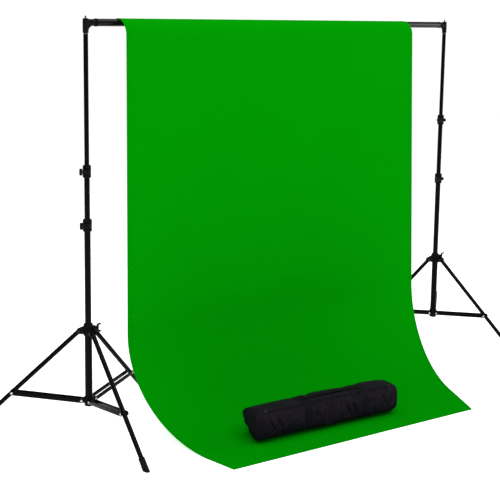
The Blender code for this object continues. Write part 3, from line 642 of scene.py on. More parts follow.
def makeHub(side, turns):
    radius, bore = stand["hubRadius"], stand["baseRadius"] + stand["gap"]
    here = Matrix.Translation(poles[side])
    low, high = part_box(f"{side}_lower_hub")
    profile = [
        (0, 0.1083), (bore, 0.1083), (bore, high.z), (radius - 0.0020, high.z),
        (radius - 0.0006, high.z - 0.0006),
    ]
    profile += [(radius, high.z - 0.0022), (radius, high.z - 0.006), (radius - 0.0007, high.z - 0.0066)]
    profile += [(radius - 0.0007, high.z - 0.0082), (radius, high.z - 0.0088), (radius, low.z + 0.0045)]
    profile += [
        (radius - 0.0012, low.z + 0.0016), (bore, low.z), (0.006, low.z), (0.0052, low.z + 0.0014),
        (0, low.z + 0.0014),
    ]
    shape = bmesh.new()
    gather(shape, turned(profile, 56), here)
    lugRound, lug = 0.0082, stand["stripInner"] - stand["gap"]
    centre = (stand["hubReach"], stand["hubPivot"])
    outline = arc(centre, lugRound, -90, 90, 16) + [
        (bore + 0.001, centre[1] + lugRound), (bore + 0.001, centre[1] - lugRound)
    ]
    for number in (1, 2, 3):
        place = here @ turns[number]
        gather(shape, softened(plate(outline, -lug, lug), 0.0009), place)
        # a low round boss on each side of the lug, about the pin
        for flip in (-1, 1):
            start = (centre[0], flip * (lug - 0.0002), centre[1])
            end = (centre[0], flip * (lug + 0.0002), centre[1])
            gather(shape, rod(0.0056, start, end), place)
        half = place @ Matrix.Rotation(math.radians(60), 4, "Z")
        rib = block((0.0035, 0.0030, 0.020), (radius + 0.0002, 0, 0.121))
        gather(shape, softened(rib, 0.0008), half)
    node = f"{side}_lower_hub"
    finishPiece(f"{node}_drawn", shape, [plastic], f"{side}_base", [node])


def makeSleeve(side):
    node = f"{side}_column_sleeve"
    low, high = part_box(node)
    tube = tubeShape(stand["sleeveRadius"], stand["baseRadius"] + stand["gap"], low.z, high.z)
    single(node, tube, Matrix.Translation(poles[side]), paint, f"{side}_base")


def makeCollar(side, turns):
    radius, bore = stand["collarRadius"], stand["baseRadius"] + stand["gap"]
    pivot = stand["legPivot"]
    here = Matrix.Translation(poles[side] + Vector((0, 0, pivot)))
    profile = [
        (bore, 0.030), (bore, -0.016), (radius - 0.0022, -0.016), (radius - 0.0006, -0.0154),
        (radius, -0.0138),
    ]
    profile += [
        (radius, -0.0100), (radius, 0.0120), (radius - 0.0008, 0.0128), (radius - 0.0008, 0.0146)
    ]
    profile += [
        (radius, 0.0154), (radius, 0.0235), (radius - 0.0012, 0.0262), (radius - 0.0030, 0.0290),
        (radius - 0.0036, 0.030),
    ]
    shape = bmesh.new()
    gather(shape, turned(profile, 56, closed=True), here)
    inner, outer = stand["earInner"], stand["earInner"] + stand["earThick"]
    root = bore + 0.001
    outline = arc((stand["legReach"], 0), stand["earRadius"], -90, 80, 14)
    outline += [
        (radius + 0.001, stand["earRadius"] * 1.75), (root, stand["earRadius"] * 1.9),
        (root, -stand["earRadius"]),
    ]
    for number in (1, 2, 3):
        place = here @ turns[number]
        for flip in (-1, 1):
            ear = plate(outline, min(flip * inner, flip * outer), max(flip * inner, flip * outer))
            gather(shape, softened(ear, 0.0008), place)
        web = plate([(root, 0.004), (radius + 0.0035, 0.004), (root, 0.0165)], -inner, inner)
        gather(shape, softened(web, 0.0006), place)
        half = place @ Matrix.Rotation(math.radians(60), 4, "Z")
        if number != 1:
            for across in (-0.005, 0.005):
                rib = block((0.0030, 0.0022, 0.034), (radius - 0.0002, across, 0.003))
                gather(shape, softened(rib, 0.0007), half)
    # screw boss between legs 1 and 2
    out = here @ turns[1] @ Matrix.Rotation(
        math.radians(60), 4, "Z"
    ) @ Matrix.Translation((0, 0, 0.014)) @ Matrix.Rotation(math.radians(90), 4, "Y")
    boss = [
        (0.0028, 0.012), (0.0028, 0.0252), (0.0036, 0.026), (0.0068, 0.026), (0.0080, 0.0248),
        (0.0080, 0.0200), (0.0090, 0.0165), (0.0095, 0.0120),
    ]
    gather(shape, turned(boss, 32), out)
    node = f"{side}_leg_collar"
    finishPiece(f"{node}_drawn", shape, [plastic], f"{side}_collar", [node])


def hingeFrame(name):
    # Z along the hinge, standing at its point
    joint = joints[name]
    z = Vector(joint["axis"])
    x = up.cross(z).normalized()
    y = z.cross(x)
    return Matrix.Translation(joint["pos_m"]) @ Matrix((x, y, z)).transposed().to_4x4()


def makeWingScrew(side):
    place = hingeFrame(f"{side}_collar_screw_turn") @ Matrix.Rotation(math.radians(90), 4, "Z")
    seat = 0.0263
    shape = bmesh.new()
    hub = [
        (0, seat + 0.0122), (0.0030, seat + 0.0122), (0.0042, seat + 0.0116), (0.0052, seat + 0.0095),
        (0.0058, seat + 0.0060), (0.0060, seat + 0.0006), (0.0055, seat), (0, seat),
    ]
    gather(shape, turned(hub, 32), place)
    gather(shape, rod(0.0025, (0, 0, 0.0122), (0, 0, seat + 0.001)), place, 1)
    wing = [
        (0.002, seat + 0.0022), (0.006, seat + 0.0026), (0.0110, seat + 0.0046),
        (0.0155, seat + 0.0082),
    ]
    wing += arc((0.0135, seat + 0.0165), 0.0036, -20, 150, 9) + [
        (0.0085, seat + 0.0118), (0.0045, seat + 0.0112), (0.002, seat + 0.0112)
    ]
    for flip in (0, 180):
        blade = plate(wing, -0.0020, 0.0020)
        gather(shape, softened(blade, 0.0009), place @ Matrix.Rotation(math.radians(flip), 4, "Z"))
    node = f"{side}_collar_screw"
    finishPiece(f"{node}_drawn", shape, [plastic, screwSteel], node, [node])


def makeLock(side, part, radius, innerRadius, body):
    node = f"{side}_{part}_lock"
    low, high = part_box(node)
    bore, lip = radius + stand["gap"], innerRadius + stand["gap"]
    outer = bore + stand["lockWall"]
    bottom, top = low.z, high.z
    profile = [
        (bore, bottom), (outer - 0.0018, bottom), (outer - 0.0004, bottom + 0.0008),
        (outer, bottom + 0.003),
    ]
    level = bottom + 0.0065
    for _ in range(3):
        profile += [
            (outer, level), (outer - 0.0007, level + 0.0005), (outer - 0.0007, level + 0.0015),
            (outer, level + 0.0020),
        ]
        level += 0.0042
    profile += [
        (outer, top - 0.0070), (outer - 0.0006, top - 0.0030), (outer - 0.0030, top - 0.0004),
        (outer - 0.0036, top), (lip, top),
    ]
    profile += [(lip, top - stand["lockLip"] + 0.0003), (bore, top - stand["lockLip"] + 0.0003)]
    shape = bmesh.new()
    here = Matrix.Translation(poles[side])
    gather(shape, turned(profile, 56, closed=True), here)
    knob = hingeFrame(f"{side}_{part}_knob_turn")
    # the clamp's two bosses with the saw cut between them, the knob's seat, and the nut in the far boss
    half = stand["bossHalf"]
    for start, end in ((-half + 0.002, -0.0009), (0.0009, half)):
        gather(shape, softened(rod(stand["boss"], (0, 0, start), (0, 0, end), 36), 0.0007), knob)
    gather(shape, rod(0.0066, (0, 0, -0.002), (0, 0, 0.002), 30), knob)
    gather(shape, softened(rod(0.0100, (0, 0, half - 0.0075), (0, 0, half), 40), 0.0007), knob)
    gather(
        shape, softened(rod(0.0046, (0, 0, -half + 0.0012), (0, 0, -half + 0.004), 6), 0.0003), knob, 1
    )
    centre = knob.translation
    outward = (centre - poles[side]) * Vector((1, 1, 0))
    turn = Matrix.Rotation(math.atan2(outward.y, outward.x), 4, "Z")
    web = block((0.0075, 0.0230, 0.011), (outer + 0.00025, 0, centre.z))
    gather(shape, softened(web, 0.0015), here @ turn)
    finishPiece(f"{node}_drawn", shape, [plastic, screwSteel], body, [node])

    # lobed knob with a dished face
    start = half + 0.0006
    outline = []
    for step in range(72):
        angle = math.tau * step / 72
        reach = stand["knobRadius"] - 0.0012 * (1 - math.cos(stand["lobes"] * angle))
        outline.append((reach * math.cos(angle), reach * math.sin(angle)))
    lie = Matrix.Rotation(math.radians(-90), 4, "X")
    shape = bmesh.new()
    knobBody = softened(plate(outline, -(start + stand["knobWidth"]), -start), 0.0013, 3)
    gather(shape, knobBody, knob @ lie)
    face = start + stand["knobWidth"]
    dish = [
        (0, face + 0.0002), (0.0052, face + 0.0002), (0.0064, face + 0.0006), (0.0076, face + 0.0006),
        (0.0088, face - 0.0004),
    ]
    gather(shape, turned(dish, 40), knob)
    gather(shape, rod(0.0025, (0, 0, -half + 0.0055), (0, 0, start + 0.002)), knob, 1)
    skirt = [(0.0105, start + 0.0002), (0.0085, start - 0.0001), (0.0, start - 0.0001)]
    gather(shape, turned(skirt, 40), knob)
    node = f"{side}_{part}_knob"
    finishPiece(f"{node}_drawn", shape, [plastic, screwSteel], node, [node])


def makeBush(side, part, radius, outside, body):
    node = f"{side}_{part}_bush"
    low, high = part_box(node)
    plug = radius - stand["wall"] - stand["gap"]
    step = low.z + 0.0117
    profile = [
        (0, high.z), (plug - 0.001, high.z), (plug, high.z - 0.001), (plug, step), (outside, step)
    ]
    profile += [(outside, low.z + 0.001), (outside - 0.001, low.z), (0, low.z)]
    single(node, turned(profile, 40), Matrix.Translation(poles[side]), plastic, body)


def makeStud(side, body):
    node = f"{side}_top_stud"
    low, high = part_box(node)
    seat = barHeight - 0.0366
    shoulder = barHeight + 0.0102
    spigot, tip = stand["spigot"], stand["tip"]
    profile = [
        (0, low.z), (0.0068, low.z), (0.0072, low.z + 0.0006), (0.0072, seat - 0.0030),
        (0.0080, seat - 0.0030),
    ]
    profile += [
        (0.0080, seat - 0.0003), (0.0078, seat), (spigot, seat), (spigot, seat + 0.016),
        (spigot - 0.0010, seat + 0.018),
    ]
    profile += [
        (spigot - 0.0010, seat + 0.023), (spigot, seat + 0.025), (spigot, shoulder - 0.0006),
        (spigot - 0.0006, shoulder), (tip, shoulder),
    ]
    level = shoulder + 0.0008
    while level < high.z - 0.0020:
        profile += [(tip, level), (tip - 0.0005, level + 0.0005)]
        level += 0.0010
    profile += [(tip - 0.0006, high.z - 0.0012), (0.0012, high.z), (0, high.z)]
    single(node, turned(profile, 40), Matrix.Translation(poles[side]), studSteel, body)


for side in ("left", "right"):
    turns = {}
    for number in (1, 2, 3):
        out = legFrame(side, number, "leg").to_3x3().col[0]
        turns[number] = Matrix.Rotation(math.atan2(out.y, out.x), 4, "Z")
        makeLeg(side, number)
        makeBrace(side, number)
    makeHub(side, turns)
    makeSleeve(side)
    makeCollar(side, turns)
    makeWingScrew(side)
    poleTube(side, "base", stand["baseRadius"], f"{side}_base")
    poleTube(side, "middle", stand["middleRadius"], f"{side}_middle")
    topBody = "crossbar" if side == "left" else "right_top"
    poleTube(side, "top", stand["topRadius"], topBody)
    makeLock(side, "lower", stand["baseRadius"], stand["middleRadius"], f"{side}_base")
    makeLock(side, "upper", stand["middleRadius"], stand["topRadius"], f"{side}_middle")
    makeBush(side, "middle", stand["middleRadius"], 0.0102, f"{side}_middle")
    makeBush(side, "top", stand["topRadius"], 0.0087, topBody)
    makeStud(side, topBody)
print("stands made")


bar = dict(
    radius=0.0135, wall=0.0012, plug=0.042, stub=0.040, stubRadius=0.0122, ring=0.0145, ringWidth=0.006,
    socket=0.0105,
)


def makeBarEnd(side):
    flip = 0 if side == "left" else math.pi
    place = Matrix.Translation(poles[side] + Vector((0, 0, barHeight))) @ Matrix.Rotation(flip, 4, "Z")
    along = place @ Matrix.Rotation(math.radians(90), 4, "Y")
    socket, stub, ring, face = bar["socket"], bar["stubRadius"], bar["ring"], bar["stub"]
    shape = bmesh.new()
    neck = [
        (0.0, 0.0905), (0.0112, 0.0905), (0.0119, 0.0895), (0.0119, face + bar["ringWidth"]),
        (ring - 0.0007, face + bar["ringWidth"]),
    ]
    neck += [
        (ring, face + bar["ringWidth"] - 0.0007), (ring, face + 0.0007), (ring - 0.0007, face),
        (stub, face),
    ]
    neck += [
        (stub, face - 0.006), (stub - 0.0006, face - 0.0068), (stub - 0.0006, face - 0.0088),
        (stub, face - 0.0096),
    ]
    neck += [
        (stub, 0.0165), (socket + 0.0006, 0.0075), (socket - 0.0010, 0.0030), (socket - 0.0012, 0),
        (0, 0),
    ]
    gather(shape, turned(neck, 56), along)
    top, bottom, roof, bore = 0.0145, -0.036, 0.0105, 0.0066
    cup = [
        (0.0035, roof), (bore, roof), (bore, bottom), (socket - 0.0007, bottom),
        (socket, bottom + 0.0007),
    ]
    cup += [
        (socket, bottom + 0.006), (socket - 0.0005, bottom + 0.0066),
        (socket - 0.0005, bottom + 0.0084), (socket, bottom + 0.009),
    ]
    cup += [
        (socket, top - 0.0025), (socket - 0.0008, top - 0.0008), (socket - 0.0026, top), (0.0035, top)
    ]
    gather(shape, turned(cup, 56, closed=True), place)
    sweep = 0.0208
    centre = (socket - 0.002 + sweep, -stub + 0.001 - sweep)
    outline = [
        (0.0075, -0.004), (centre[0], -0.004)
    ] + arc(centre, sweep, 90, 180, 14) + [(0.0075, centre[1])]
    gather(shape, softened(plate(outline, -0.0055, 0.0055), 0.0016, 3), place)
    node = f"{side}_bar_end"
    finishPiece(f"{node}_drawn", shape, [plastic], "crossbar", [node])


def makeBarSection(number):
    node = f"bar_section_{number}"
    low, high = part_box(node)
    radius, inner = bar["radius"], bar["radius"] - bar["wall"]
    along = Matrix.Translation((low.x, poles["left"].y, barHeight)) @ Matrix.Rotation(
        math.radians(90), 4, "Y"
    )
    length = high.x - low.x
    if number < 3:
        body, neck = length - bar["plug"], inner - stand["gap"]
        profile = [
            (inner, 0.0004), (inner + 0.0004, 0), (radius - 0.0004, 0), (radius, 0.0004),
            (radius, body - 0.0016),
        ]
        profile += [
            (radius - 0.0005, body - 0.0004), (neck, body), (neck, length - 0.001),
            (neck - 0.0008, length),
        ]
        profile += [
            (neck - bar["wall"], length), (neck - bar["wall"], body - 0.002), (inner, body - 0.006)
        ]
        section = turned(profile, 56, closed=True)
    else:
        section = tubeShape(radius, inner, 0, length)
    single(node, section, along, barPaint, "crossbar")


for side in ("left", "right"):
    makeBarEnd(side)
for number in (1, 2, 3):
    makeBarSection(number)
print("crossbar made")


cloth = dict(
    left=-0.865, right=0.705, thick=0.0009, top=0.0012, standOff=0.055, rollDrop=0.045, flap=0.013,
    bendHeight=0.360, bendReach=0.450, lean=0.045, frontLeft=(
        -0.840, -0.620
    ), frontRight=(0.284, -0.773),
    cut=0.76, hem=0.0185, hemRoom=0.026, hemLift=0.00035, ripple=0.0011, bubble=0.0012,
)


def clothPath():
    # (y, z) stations from the back flap's edge over the bar and down to where the cloth hangs straight;
    # y is from the bar's centre line
    wrap = bar["radius"] + cloth["top"] + 0.0006
    path = [(wrap, barHeight - cloth["flap"] * (1 - step / 4)) for step in range(4)]
    path += [(y, barHeight + z) for y, z in arc((0, 0), wrap, 0, 90, 14)]
    top, drop = barHeight + wrap, wrap + cloth["rollDrop"]
    for step in range(1, 21):
        angle = math.radians(4.5 * step)
        path.append((-cloth["standOff"] * math.sin(angle), top - drop * (1 - math.cos(angle))))
    return path


def sweepRise(out):
    share = min(1.0, max(0.0, out) / cloth["bendReach"])
    return (cloth["bendHeight"] - cloth["top"]) * (1 - math.sqrt(1 - (1 - share) ** 2))


def clothWidths():
    # columns across the cloth, from 0 to 1: close together where the hem is folded
    width = cloth["right"] - cloth["left"]
    near = [0.0, 0.0012, 0.009, 0.0178, 0.0190, 0.026]
    count = 116
    inner = [near[-1] + (width - 2 * near[-1]) * step / count for step in range(1, count)]
    return [value / width for value in near + inner] + [1 - value / width for value in reversed(near)]


def hangingPoint(u, y, z, straight):
    lean = cloth["lean"] * min(
        1.0, max(0.0, (straight - z) / (straight - cloth["bendHeight"]))
    ) if y < 0 else 0.0
    return Vector((cloth["left"] + (cloth["right"] - cloth["left"]) * u, y - lean * u, z))


def sweepPoint(u, out, share=None, back=0.0):
    # out is how far forward of the hanging part; share, of the flat run on the floor; back, from its edge
    start = -cloth["standOff"] - cloth["lean"] * u
    frontX = cloth["frontLeft"][0] + (cloth["frontRight"][0] - cloth["frontLeft"][0]) * u
    frontY = cloth["frontLeft"][1] + (cloth["frontRight"][1] - cloth["frontLeft"][1]) * u
    if share is not None:
        out = cloth["bendReach"] + (start - cloth["bendReach"] - frontY - cloth["hemRoom"]) * share
    if back is not None and share == 1.0:
        out = start - frontY - back
    hungX = cloth["left"] + (cloth["right"] - cloth["left"]) * u
    narrowing = out / (start - frontY)
    return Vector((hungX + (frontX - hungX) * narrowing, start - out, cloth["top"] + sweepRise(out)))


def clothSheet(name, rows, openTop, openBottom, hemTop, hemBottom):
    # rows of points become a sheet with its own weave map, hems, and a real thickness
    columns = clothWidths()
    width = cloth["right"] - cloth["left"]
    travel = [0.0]
    for above, below in zip(rows, rows[1:]):
        travel.append(travel[-1] + (below[len(below) // 2] - above[len(above) // 2]).length)
    total = travel[-1]
    shape = bmesh.new()
    bmesh.ops.create_grid(shape, x_segments=len(columns) - 1, y_segments=len(rows) - 1, size=0.5)
    shape.verts.ensure_lookup_table()
    order = sorted(shape.verts, key=lambda vert: (-round(vert.co.y, 6), round(vert.co.x, 6)))
    weave = shape.loops.layers.uv.new("weave")
    hem = shape.loops.layers.uv.new("hem")
    facts = {}
    for rank, vert in enumerate(order):
        row, column = divmod(rank, len(columns))
        across, along = columns[column] * width, travel[row]
        edge = min(across, width - across)
        run = along
        if hemTop and along < edge:
            edge, run = along, across
        if hemBottom and total - along < edge:
            edge, run = total - along, across
        facts[vert.index] = (across, along + name.count("lower") * 1.2, edge, run)
        vert.co = rows[row][column]
    for face in shape.faces:
        for loop in face.loops:
            across, along, edge, run = facts[loop.vert.index]
            loop[weave].uv = (across, along)
            loop[hem].uv = (edge, run)
    shape.normal_update()
    if sum(face.normal.y for face in shape.faces) > 0:
        bmesh.ops.reverse_faces(shape, faces=shape.faces)
        shape.normal_update()
    raised = [vert for vert in shape.verts if 0.001 < facts[vert.index][2] < cloth["hem"]]
    lifts = [vert.normal * cloth["hemLift"] for vert in raised]
    for vert, lift in zip(raised, lifts):
        vert.co += lift
    bmesh.ops.solidify(shape, geom=shape.faces[:], thickness=cloth["thick"])
    bmesh.ops.recalc_face_normals(shape, faces=shape.faces)
    if openTop or openBottom:
        # the two pieces meet here, so neither has a rim
        rim = [face for face in shape.faces if all(abs(vert.co.z - cloth["cut"]) < 1e-5 for vert in face.verts)]
        bmesh.ops.delete(shape, geom=rim, context="FACES_ONLY")
    return shape


def settled(point, u, along):
    # slow ripples in the hanging cloth, dying out at the bar and on the floor
    fade = min(
        1.0, max(0.0, (barHeight - 0.10 - point.z) / 0.25)
    ) * min(1.0, max(0.0, (point.z - 0.05) / 0.25))
    wave = noise.noise(Vector((point.x * 2.4, along * 0.55, 3.1)))
    wave += 0.5 * noise.noise(Vector((point.x * 6.0, along * 1.1, 9.4)))
    moved = point.copy()
    moved.y += cloth["ripple"] * 2.2 * wave * fade
    floor = 1.0 - min(1.0, max(0.0, point.z - 0.004) / 0.05)
    bubble = max(0.0, noise.noise(Vector((point.x * 5.0, point.y * 5.0, 1.7))))
    inward = min(1.0, min(u, 1 - u) * 12)
    moved.z += cloth["bubble"] * bubble * floor * inward
    return moved + Vector((betweenPoles.x, poles["left"].y, 0))


def makeCloth():
    columns = clothWidths()
    path = clothPath()
    straight = path[-1][1]
    upper = list(path)
    steps = 62
    for step in range(1, steps + 1):
        upper.append((-cloth["standOff"], straight + (cloth["cut"] - straight) * step / steps))
    rows = [[settled(hangingPoint(u, y, z, straight), u, z) for u in columns] for y, z in upper]
    shape = clothSheet("upper", rows, False, True, True, False)
    cut = finishPiece("backdrop_hanging", shape, [clothGreen], None, ["cloth_curtain"], 60)
    length = cloth["flap"] + math.pi / 2 * 0.0153 + 0.085 + straight - cloth["cut"]
    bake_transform(cut)

    rows = []
    steps = 34
    for step in range(steps + 1):
        z = cloth["cut"] + (cloth["bendHeight"] - cloth["cut"]) * step / steps
        rows.append([settled(hangingPoint(u, -cloth["standOff"], z, straight), u, z) for u in columns])
    for step in range(1, 49):
        bend = math.radians(90 * step / 48)
        out = cloth["bendReach"] * (1 - math.cos(bend))
        rows.append([settled(sweepPoint(u, out), u, -out) for u in columns])
    for step in range(1, 11):
        rows.append([settled(sweepPoint(u, 0.0, step / 11), u, -1.0 - step / 11) for u in columns])
    for back in (0.026, 0.0190, 0.0178, 0.009, 0.0012, 0.0):
        rows.append([settled(sweepPoint(u, 0.0, 1.0, back), u, -2.0 - back) for u in columns])
    shape = clothSheet("lower", rows, True, False, False, True)
    area = sum(face.calc_area() for face in shape.faces) / 2
    laid = finishPiece("backdrop_sweep", shape, [clothGreen], None, ["cloth_sweep"], 60)
    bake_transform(laid)
    reach = sum((below[60] - above[60]).length for above, below in zip(rows, rows[1:]))


makeCloth()
print("cloth made")


def bagPlace():
    low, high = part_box("bag_body")
    spot = (low + high) / 2
    return Matrix.Translation((spot.x, spot.y, low.z)) @ Matrix.Rotation(bag["turn"], 4, "Z")


def cutBlock(size, cuts, low):
    # a block cut into even faces, cuts along each axis
    shape = block(size, (0, 0, low + size[2] / 2))
    for axis, count in enumerate(cuts):
        for step in range(1, count):
            spot, normal = Vector((0, 0, low + size[2] / 2)), Vector((0, 0, 0))
            spot[axis] += size[axis] * (step / count - 0.5)
            normal[axis] = 1
            geom = [*shape.verts, *shape.edges, *shape.faces]
            bmesh.ops.bisect_plane(shape, geom=geom, plane_co=spot, plane_no=normal)
    return shape


def bagHalf():
    return Vector((bag["length"], bag["width"], bag["height"])) / 2


def nearBand(x):
    # 1 under a webbing band, falling to 0 beside it
    return max(math.exp(-(((x - band) / 0.020) ** 2)) for band in bag["bands"])


def bagForm(point):
    # a full, slightly slack bag: flat base, rounded shoulders, pinched by the bands
    half = bagHalf()
    middle = half.z
    x, y, z = point.x / half.x, point.y / half.y, (point.z - middle) / half.z
    power = 4.2
    across = (abs(y) ** power + abs(z) ** power) ** (1 / power)
    outline = max(abs(y), abs(z))
    pull = outline / across if across > 1e-6 else 1.0
    end = max(0.0, abs(x) - 0.86) / 0.14
    taper = 1.0 - 0.13 * end**2
    ridge = noise.noise(Vector((point.x * 7.0, point.y * 4.0, 2.0)))
    fine = noise.noise(Vector((point.x * 18.0, point.y * 11.0, point.z * 12.0)))
    swell = 1.0 + 0.022 * ridge + 0.012 * fine - 0.030 * nearBand(point.x)
    wide, tall = y * pull * taper * swell, z * pull * taper * swell
    if z < 0:
        wide *= 1.0 + 0.02 * abs(z)
    sag = 0.035 * math.sin(point.x * 9.5 + 0.6) + 0.030 * math.sin(point.x * 23.0 + 2.0)
    top = tall + (sag * max(0.0, tall) if tall > 0 else 0.0) - 0.045 * max(0.0, tall)
    # the left end hangs slack, so its lower back corner is drawn in
    slack = max(0.0, -x - 0.80) / 0.20 * max(0.0, 0.5 + 0.5 * y) * (1 - point.z / (2 * half.z)) * 0.030
    return Vector((x * half.x * 0.996 + slack, wide * half.y, middle + top * half.z))


def creaseDepth(point):
    # sharp folds that run down and across the front of the bag, in groups
    depth = 0.0
    for centre, lean, count, gap, long in bag["creases"]:
        for step in range(count):
            spot = centre + gap * step
            line = point.x - spot - lean * (point.z - 0.05) * (1 if step % 2 else -0.6)
            reach = math.exp(-(((point.z - 0.055) / long) ** 2))
            depth += bag["creaseDeep"] * math.exp(-((line / 0.0055) ** 2)) * reach
            depth -= bag["creaseLip"] * math.exp(-(((line - 0.010) / 0.007) ** 2)) * reach
    return depth


bag["creases"] = [
    (-0.262, 0.9, 4, 0.017, 0.034), (-0.070, -0.6, 3, 0.019, 0.036), (0.085, 0.8, 4, 0.016, 0.032),
    (0.245, -0.7, 3, 0.018, 0.030),
]


def clothSoften(piece, pinned):
    # stuffed cloth: a few frames of pressure, then no point further than a set way from where it began
    before = [vert.co.copy() for vert in piece.data.vertices]
    group = piece.vertex_groups.new(name="held")
    group.add(pinned, 1.0, "REPLACE")
    soft = piece.modifiers.new("soft", "CLOTH")
    settings = soft.settings
    settings.quality = 6
    settings.mass = 0.25
    settings.tension_stiffness = 22
    settings.compression_stiffness = 22
    settings.shear_stiffness = 9
    settings.bending_stiffness = 1.6
    settings.use_pressure = True
    settings.uniform_pressure_force = 2.0
    settings.shrink_min = -0.035
    settings.effector_weights.gravity = 0.0
    settings.vertex_group_mass = "held"
    soft.collision_settings.use_collision = False
    soft.point_cache.frame_start = 1
    soft.point_cache.frame_end = 20
    scene = bpy.context.scene
    for number in range(1, 21):
        scene.frame_set(number)
    graph = bpy.context.evaluated_depsgraph_get()
    held = bpy.data.meshes.new_from_object(piece.evaluated_get(graph), depsgraph=graph)
    after = [vert.co.copy() for vert in held.vertices]
    piece.modifiers.remove(soft)
    bpy.data.meshes.remove(held)
    scene.frame_set(1)
    for vert, start, end in zip(piece.data.vertices, before, after):
        move = end - start
        if move.length > bag["mostMove"]:
            move *= bag["mostMove"] / move.length
        vert.co = start + move


def makeBag():
    place = bagPlace()
    size = (bag["length"], bag["width"], bag["height"])
    shape = cutBlock(size, (118, 26, 22), 0.0)
    for vert in shape.verts:
        vert.co = bagForm(vert.co)
    mesh = bpy.data.meshes.new("bag_shell")
    shape.to_mesh(mesh)
    shape.free()
    piece = linked("bag_shell", mesh)
    pinned = [v.index for v in mesh.vertices if v.co.z < 0.006 or nearBand(v.co.x) > 0.75]
    clothSoften(piece, pinned)
    shape = bmesh.new()
    shape.from_mesh(mesh)
    bmesh.ops.recalc_face_normals(shape, faces=shape.faces)
    shape.normal_update()
    moves, half = [], bagHalf()
    widest = max(abs(vert.co.y) for vert in shape.verts)
    for vert in shape.verts:
        vert.co.y *= min(1.0, (half.y - bag["inset"]) / widest)
    for vert in shape.verts:
        side = min(1.0, abs(vert.normal.y) * 1.2) * (1 - nearBand(vert.co.x))
        top = max(0.0, vert.normal.z) * (1 - nearBand(vert.co.x)) * 0.55
        moves.append(vert.co - vert.normal * creaseDepth(vert.co) * max(side, top))
    for vert, spot in zip(shape.verts, moves):
        vert.co = spot
        vert.co.x = max(-half.x + bag["inset"], min(half.x - bag["inset"], vert.co.x))
        vert.co.y = max(-half.y + bag["inset"], min(half.y - bag["inset"], vert.co.y))
        vert.co.z = max(0.0004, min(bag["height"] - bag["inset"], vert.co.z))
    bmesh.ops.subdivide_edges(shape, edges=shape.edges, cuts=1, use_grid_fill=True, smooth=0.4)
    bmesh.ops.recalc_face_normals(shape, faces=shape.faces)
    shape.normal_update()
    for vert in shape.verts:
        vert.co.z = max(0.0004, vert.co.z)
    surface = BVHTree.FromBMesh(shape)
    body = bmesh.new()
    gather(body, shape, place)
    bpy.data.objects.remove(piece)
    shell = finishPiece("bag_shell", body, [nylon], "bag", ["bag_body"], 65)
    return surface, place, shell


def onBag(surface, x, angle, lift):
    # the bag's surface at x, seen from its middle line at that angle from +Y
    middle = Vector((x, 0, bag["height"] / 2))
    aim = Vector((0, math.cos(angle), math.sin(angle)))
    spot, normal, _, _ = surface.ray_cast(middle, aim)
    return spot + normal * lift, normal


def seated(place, spot, normal):
    # a frame standing on the bag: X along it, Z out of its surface
    along = normal.cross(Vector((1, 0, 0))).normalized()
    turn = Matrix((Vector((1, 0, 0)), along, normal)).transposed().to_4x4()
    return place @ Matrix.Translation(spot) @ turn


def strapMesh(rows, thick):
    # rows of points become a strap with a weave map and a real thickness
    wide, long = len(rows[0]), len(rows)
    shape = bmesh.new()
    bmesh.ops.create_grid(shape, x_segments=wide - 1, y_segments=long - 1, size=0.5)
    order = sorted(shape.verts, key=lambda vert: (-round(vert.co.y, 6), round(vert.co.x, 6)))
    weave = shape.loops.layers.uv.new("weave")
    facts, along = {}, 0.0
    for rank, vert in enumerate(order):
        row, column = divmod(rank, wide)
        if column == 0 and row:
            along += (rows[row][0] - rows[row - 1][0]).length
        facts[vert.index] = ((rows[row][column] - rows[row][0]).length, along)
        vert.co = rows[row][column]
    for face in shape.faces:
        for loop in face.loops:
            loop[weave].uv = facts[loop.vert.index]
    shape.normal_update()
    bmesh.ops.solidify(shape, geom=shape.faces[:], thickness=thick)
    bmesh.ops.recalc_face_normals(shape, faces=shape.faces)
    return shape


def makeBands(surface, place):
    for number, x in enumerate(bag["bands"], 1):
        half = bag["bandWidth"] / 2
        rows = []
        for step in range(97):
            angle = math.radians(-38 + 256 * step / 96)
            row = []
            for across in (-1, -0.5, 0, 0.5, 1):
                spot, _ = onBag(surface, x + across * half, angle, 0.0004)
                row.append(place @ spot)
            rows.append(row)
        shape = bmesh.new()
        gather(shape, strapMesh(rows, -bag["webbing"]))
        finishPiece(
            f"bag_band_{number}_drawn", shape, [webbing, plastic], "bag", [f"bag_band_{number}"],
            50,
        )


def makeHandle(surface, place):
    # the handle runs along the top between the bands, arched a little
    start, end = bag["bands"][0], bag["bands"][1]
    half = bag["handleWidth"] / 2
    rows = []
    count = 72
    for step in range(count + 1):
        share = step / count
        x = start + (end - start) * share
        row = []
        arch = bag["handleArch"] * math.sin(math.pi * share) ** 0.7
        overBand = bag["webbing"] * (1 if share < 0.06 or share > 0.94 else 0.2)
        for across in (-1, -0.5, 0, 0.5, 1):
            spot, _, _, _ = surface.ray_cast(Vector((x, across * half, 0.2)), Vector((0, 0, -1)))
            row.append(Vector((x, across * half, spot.z + bag["handleLift"] + overBand + arch)))
        level = sum(point.z for point in row) / len(row)
        for point in row:
            point.z = level
        rows.append([place @ point for point in row])
    shape = bmesh.new()
    gather(shape, strapMesh(rows, bag["webbing"] * 0.9))
    finishPiece("bag_handle_drawn", shape, [webbing], "bag", ["bag_handle"], 50)


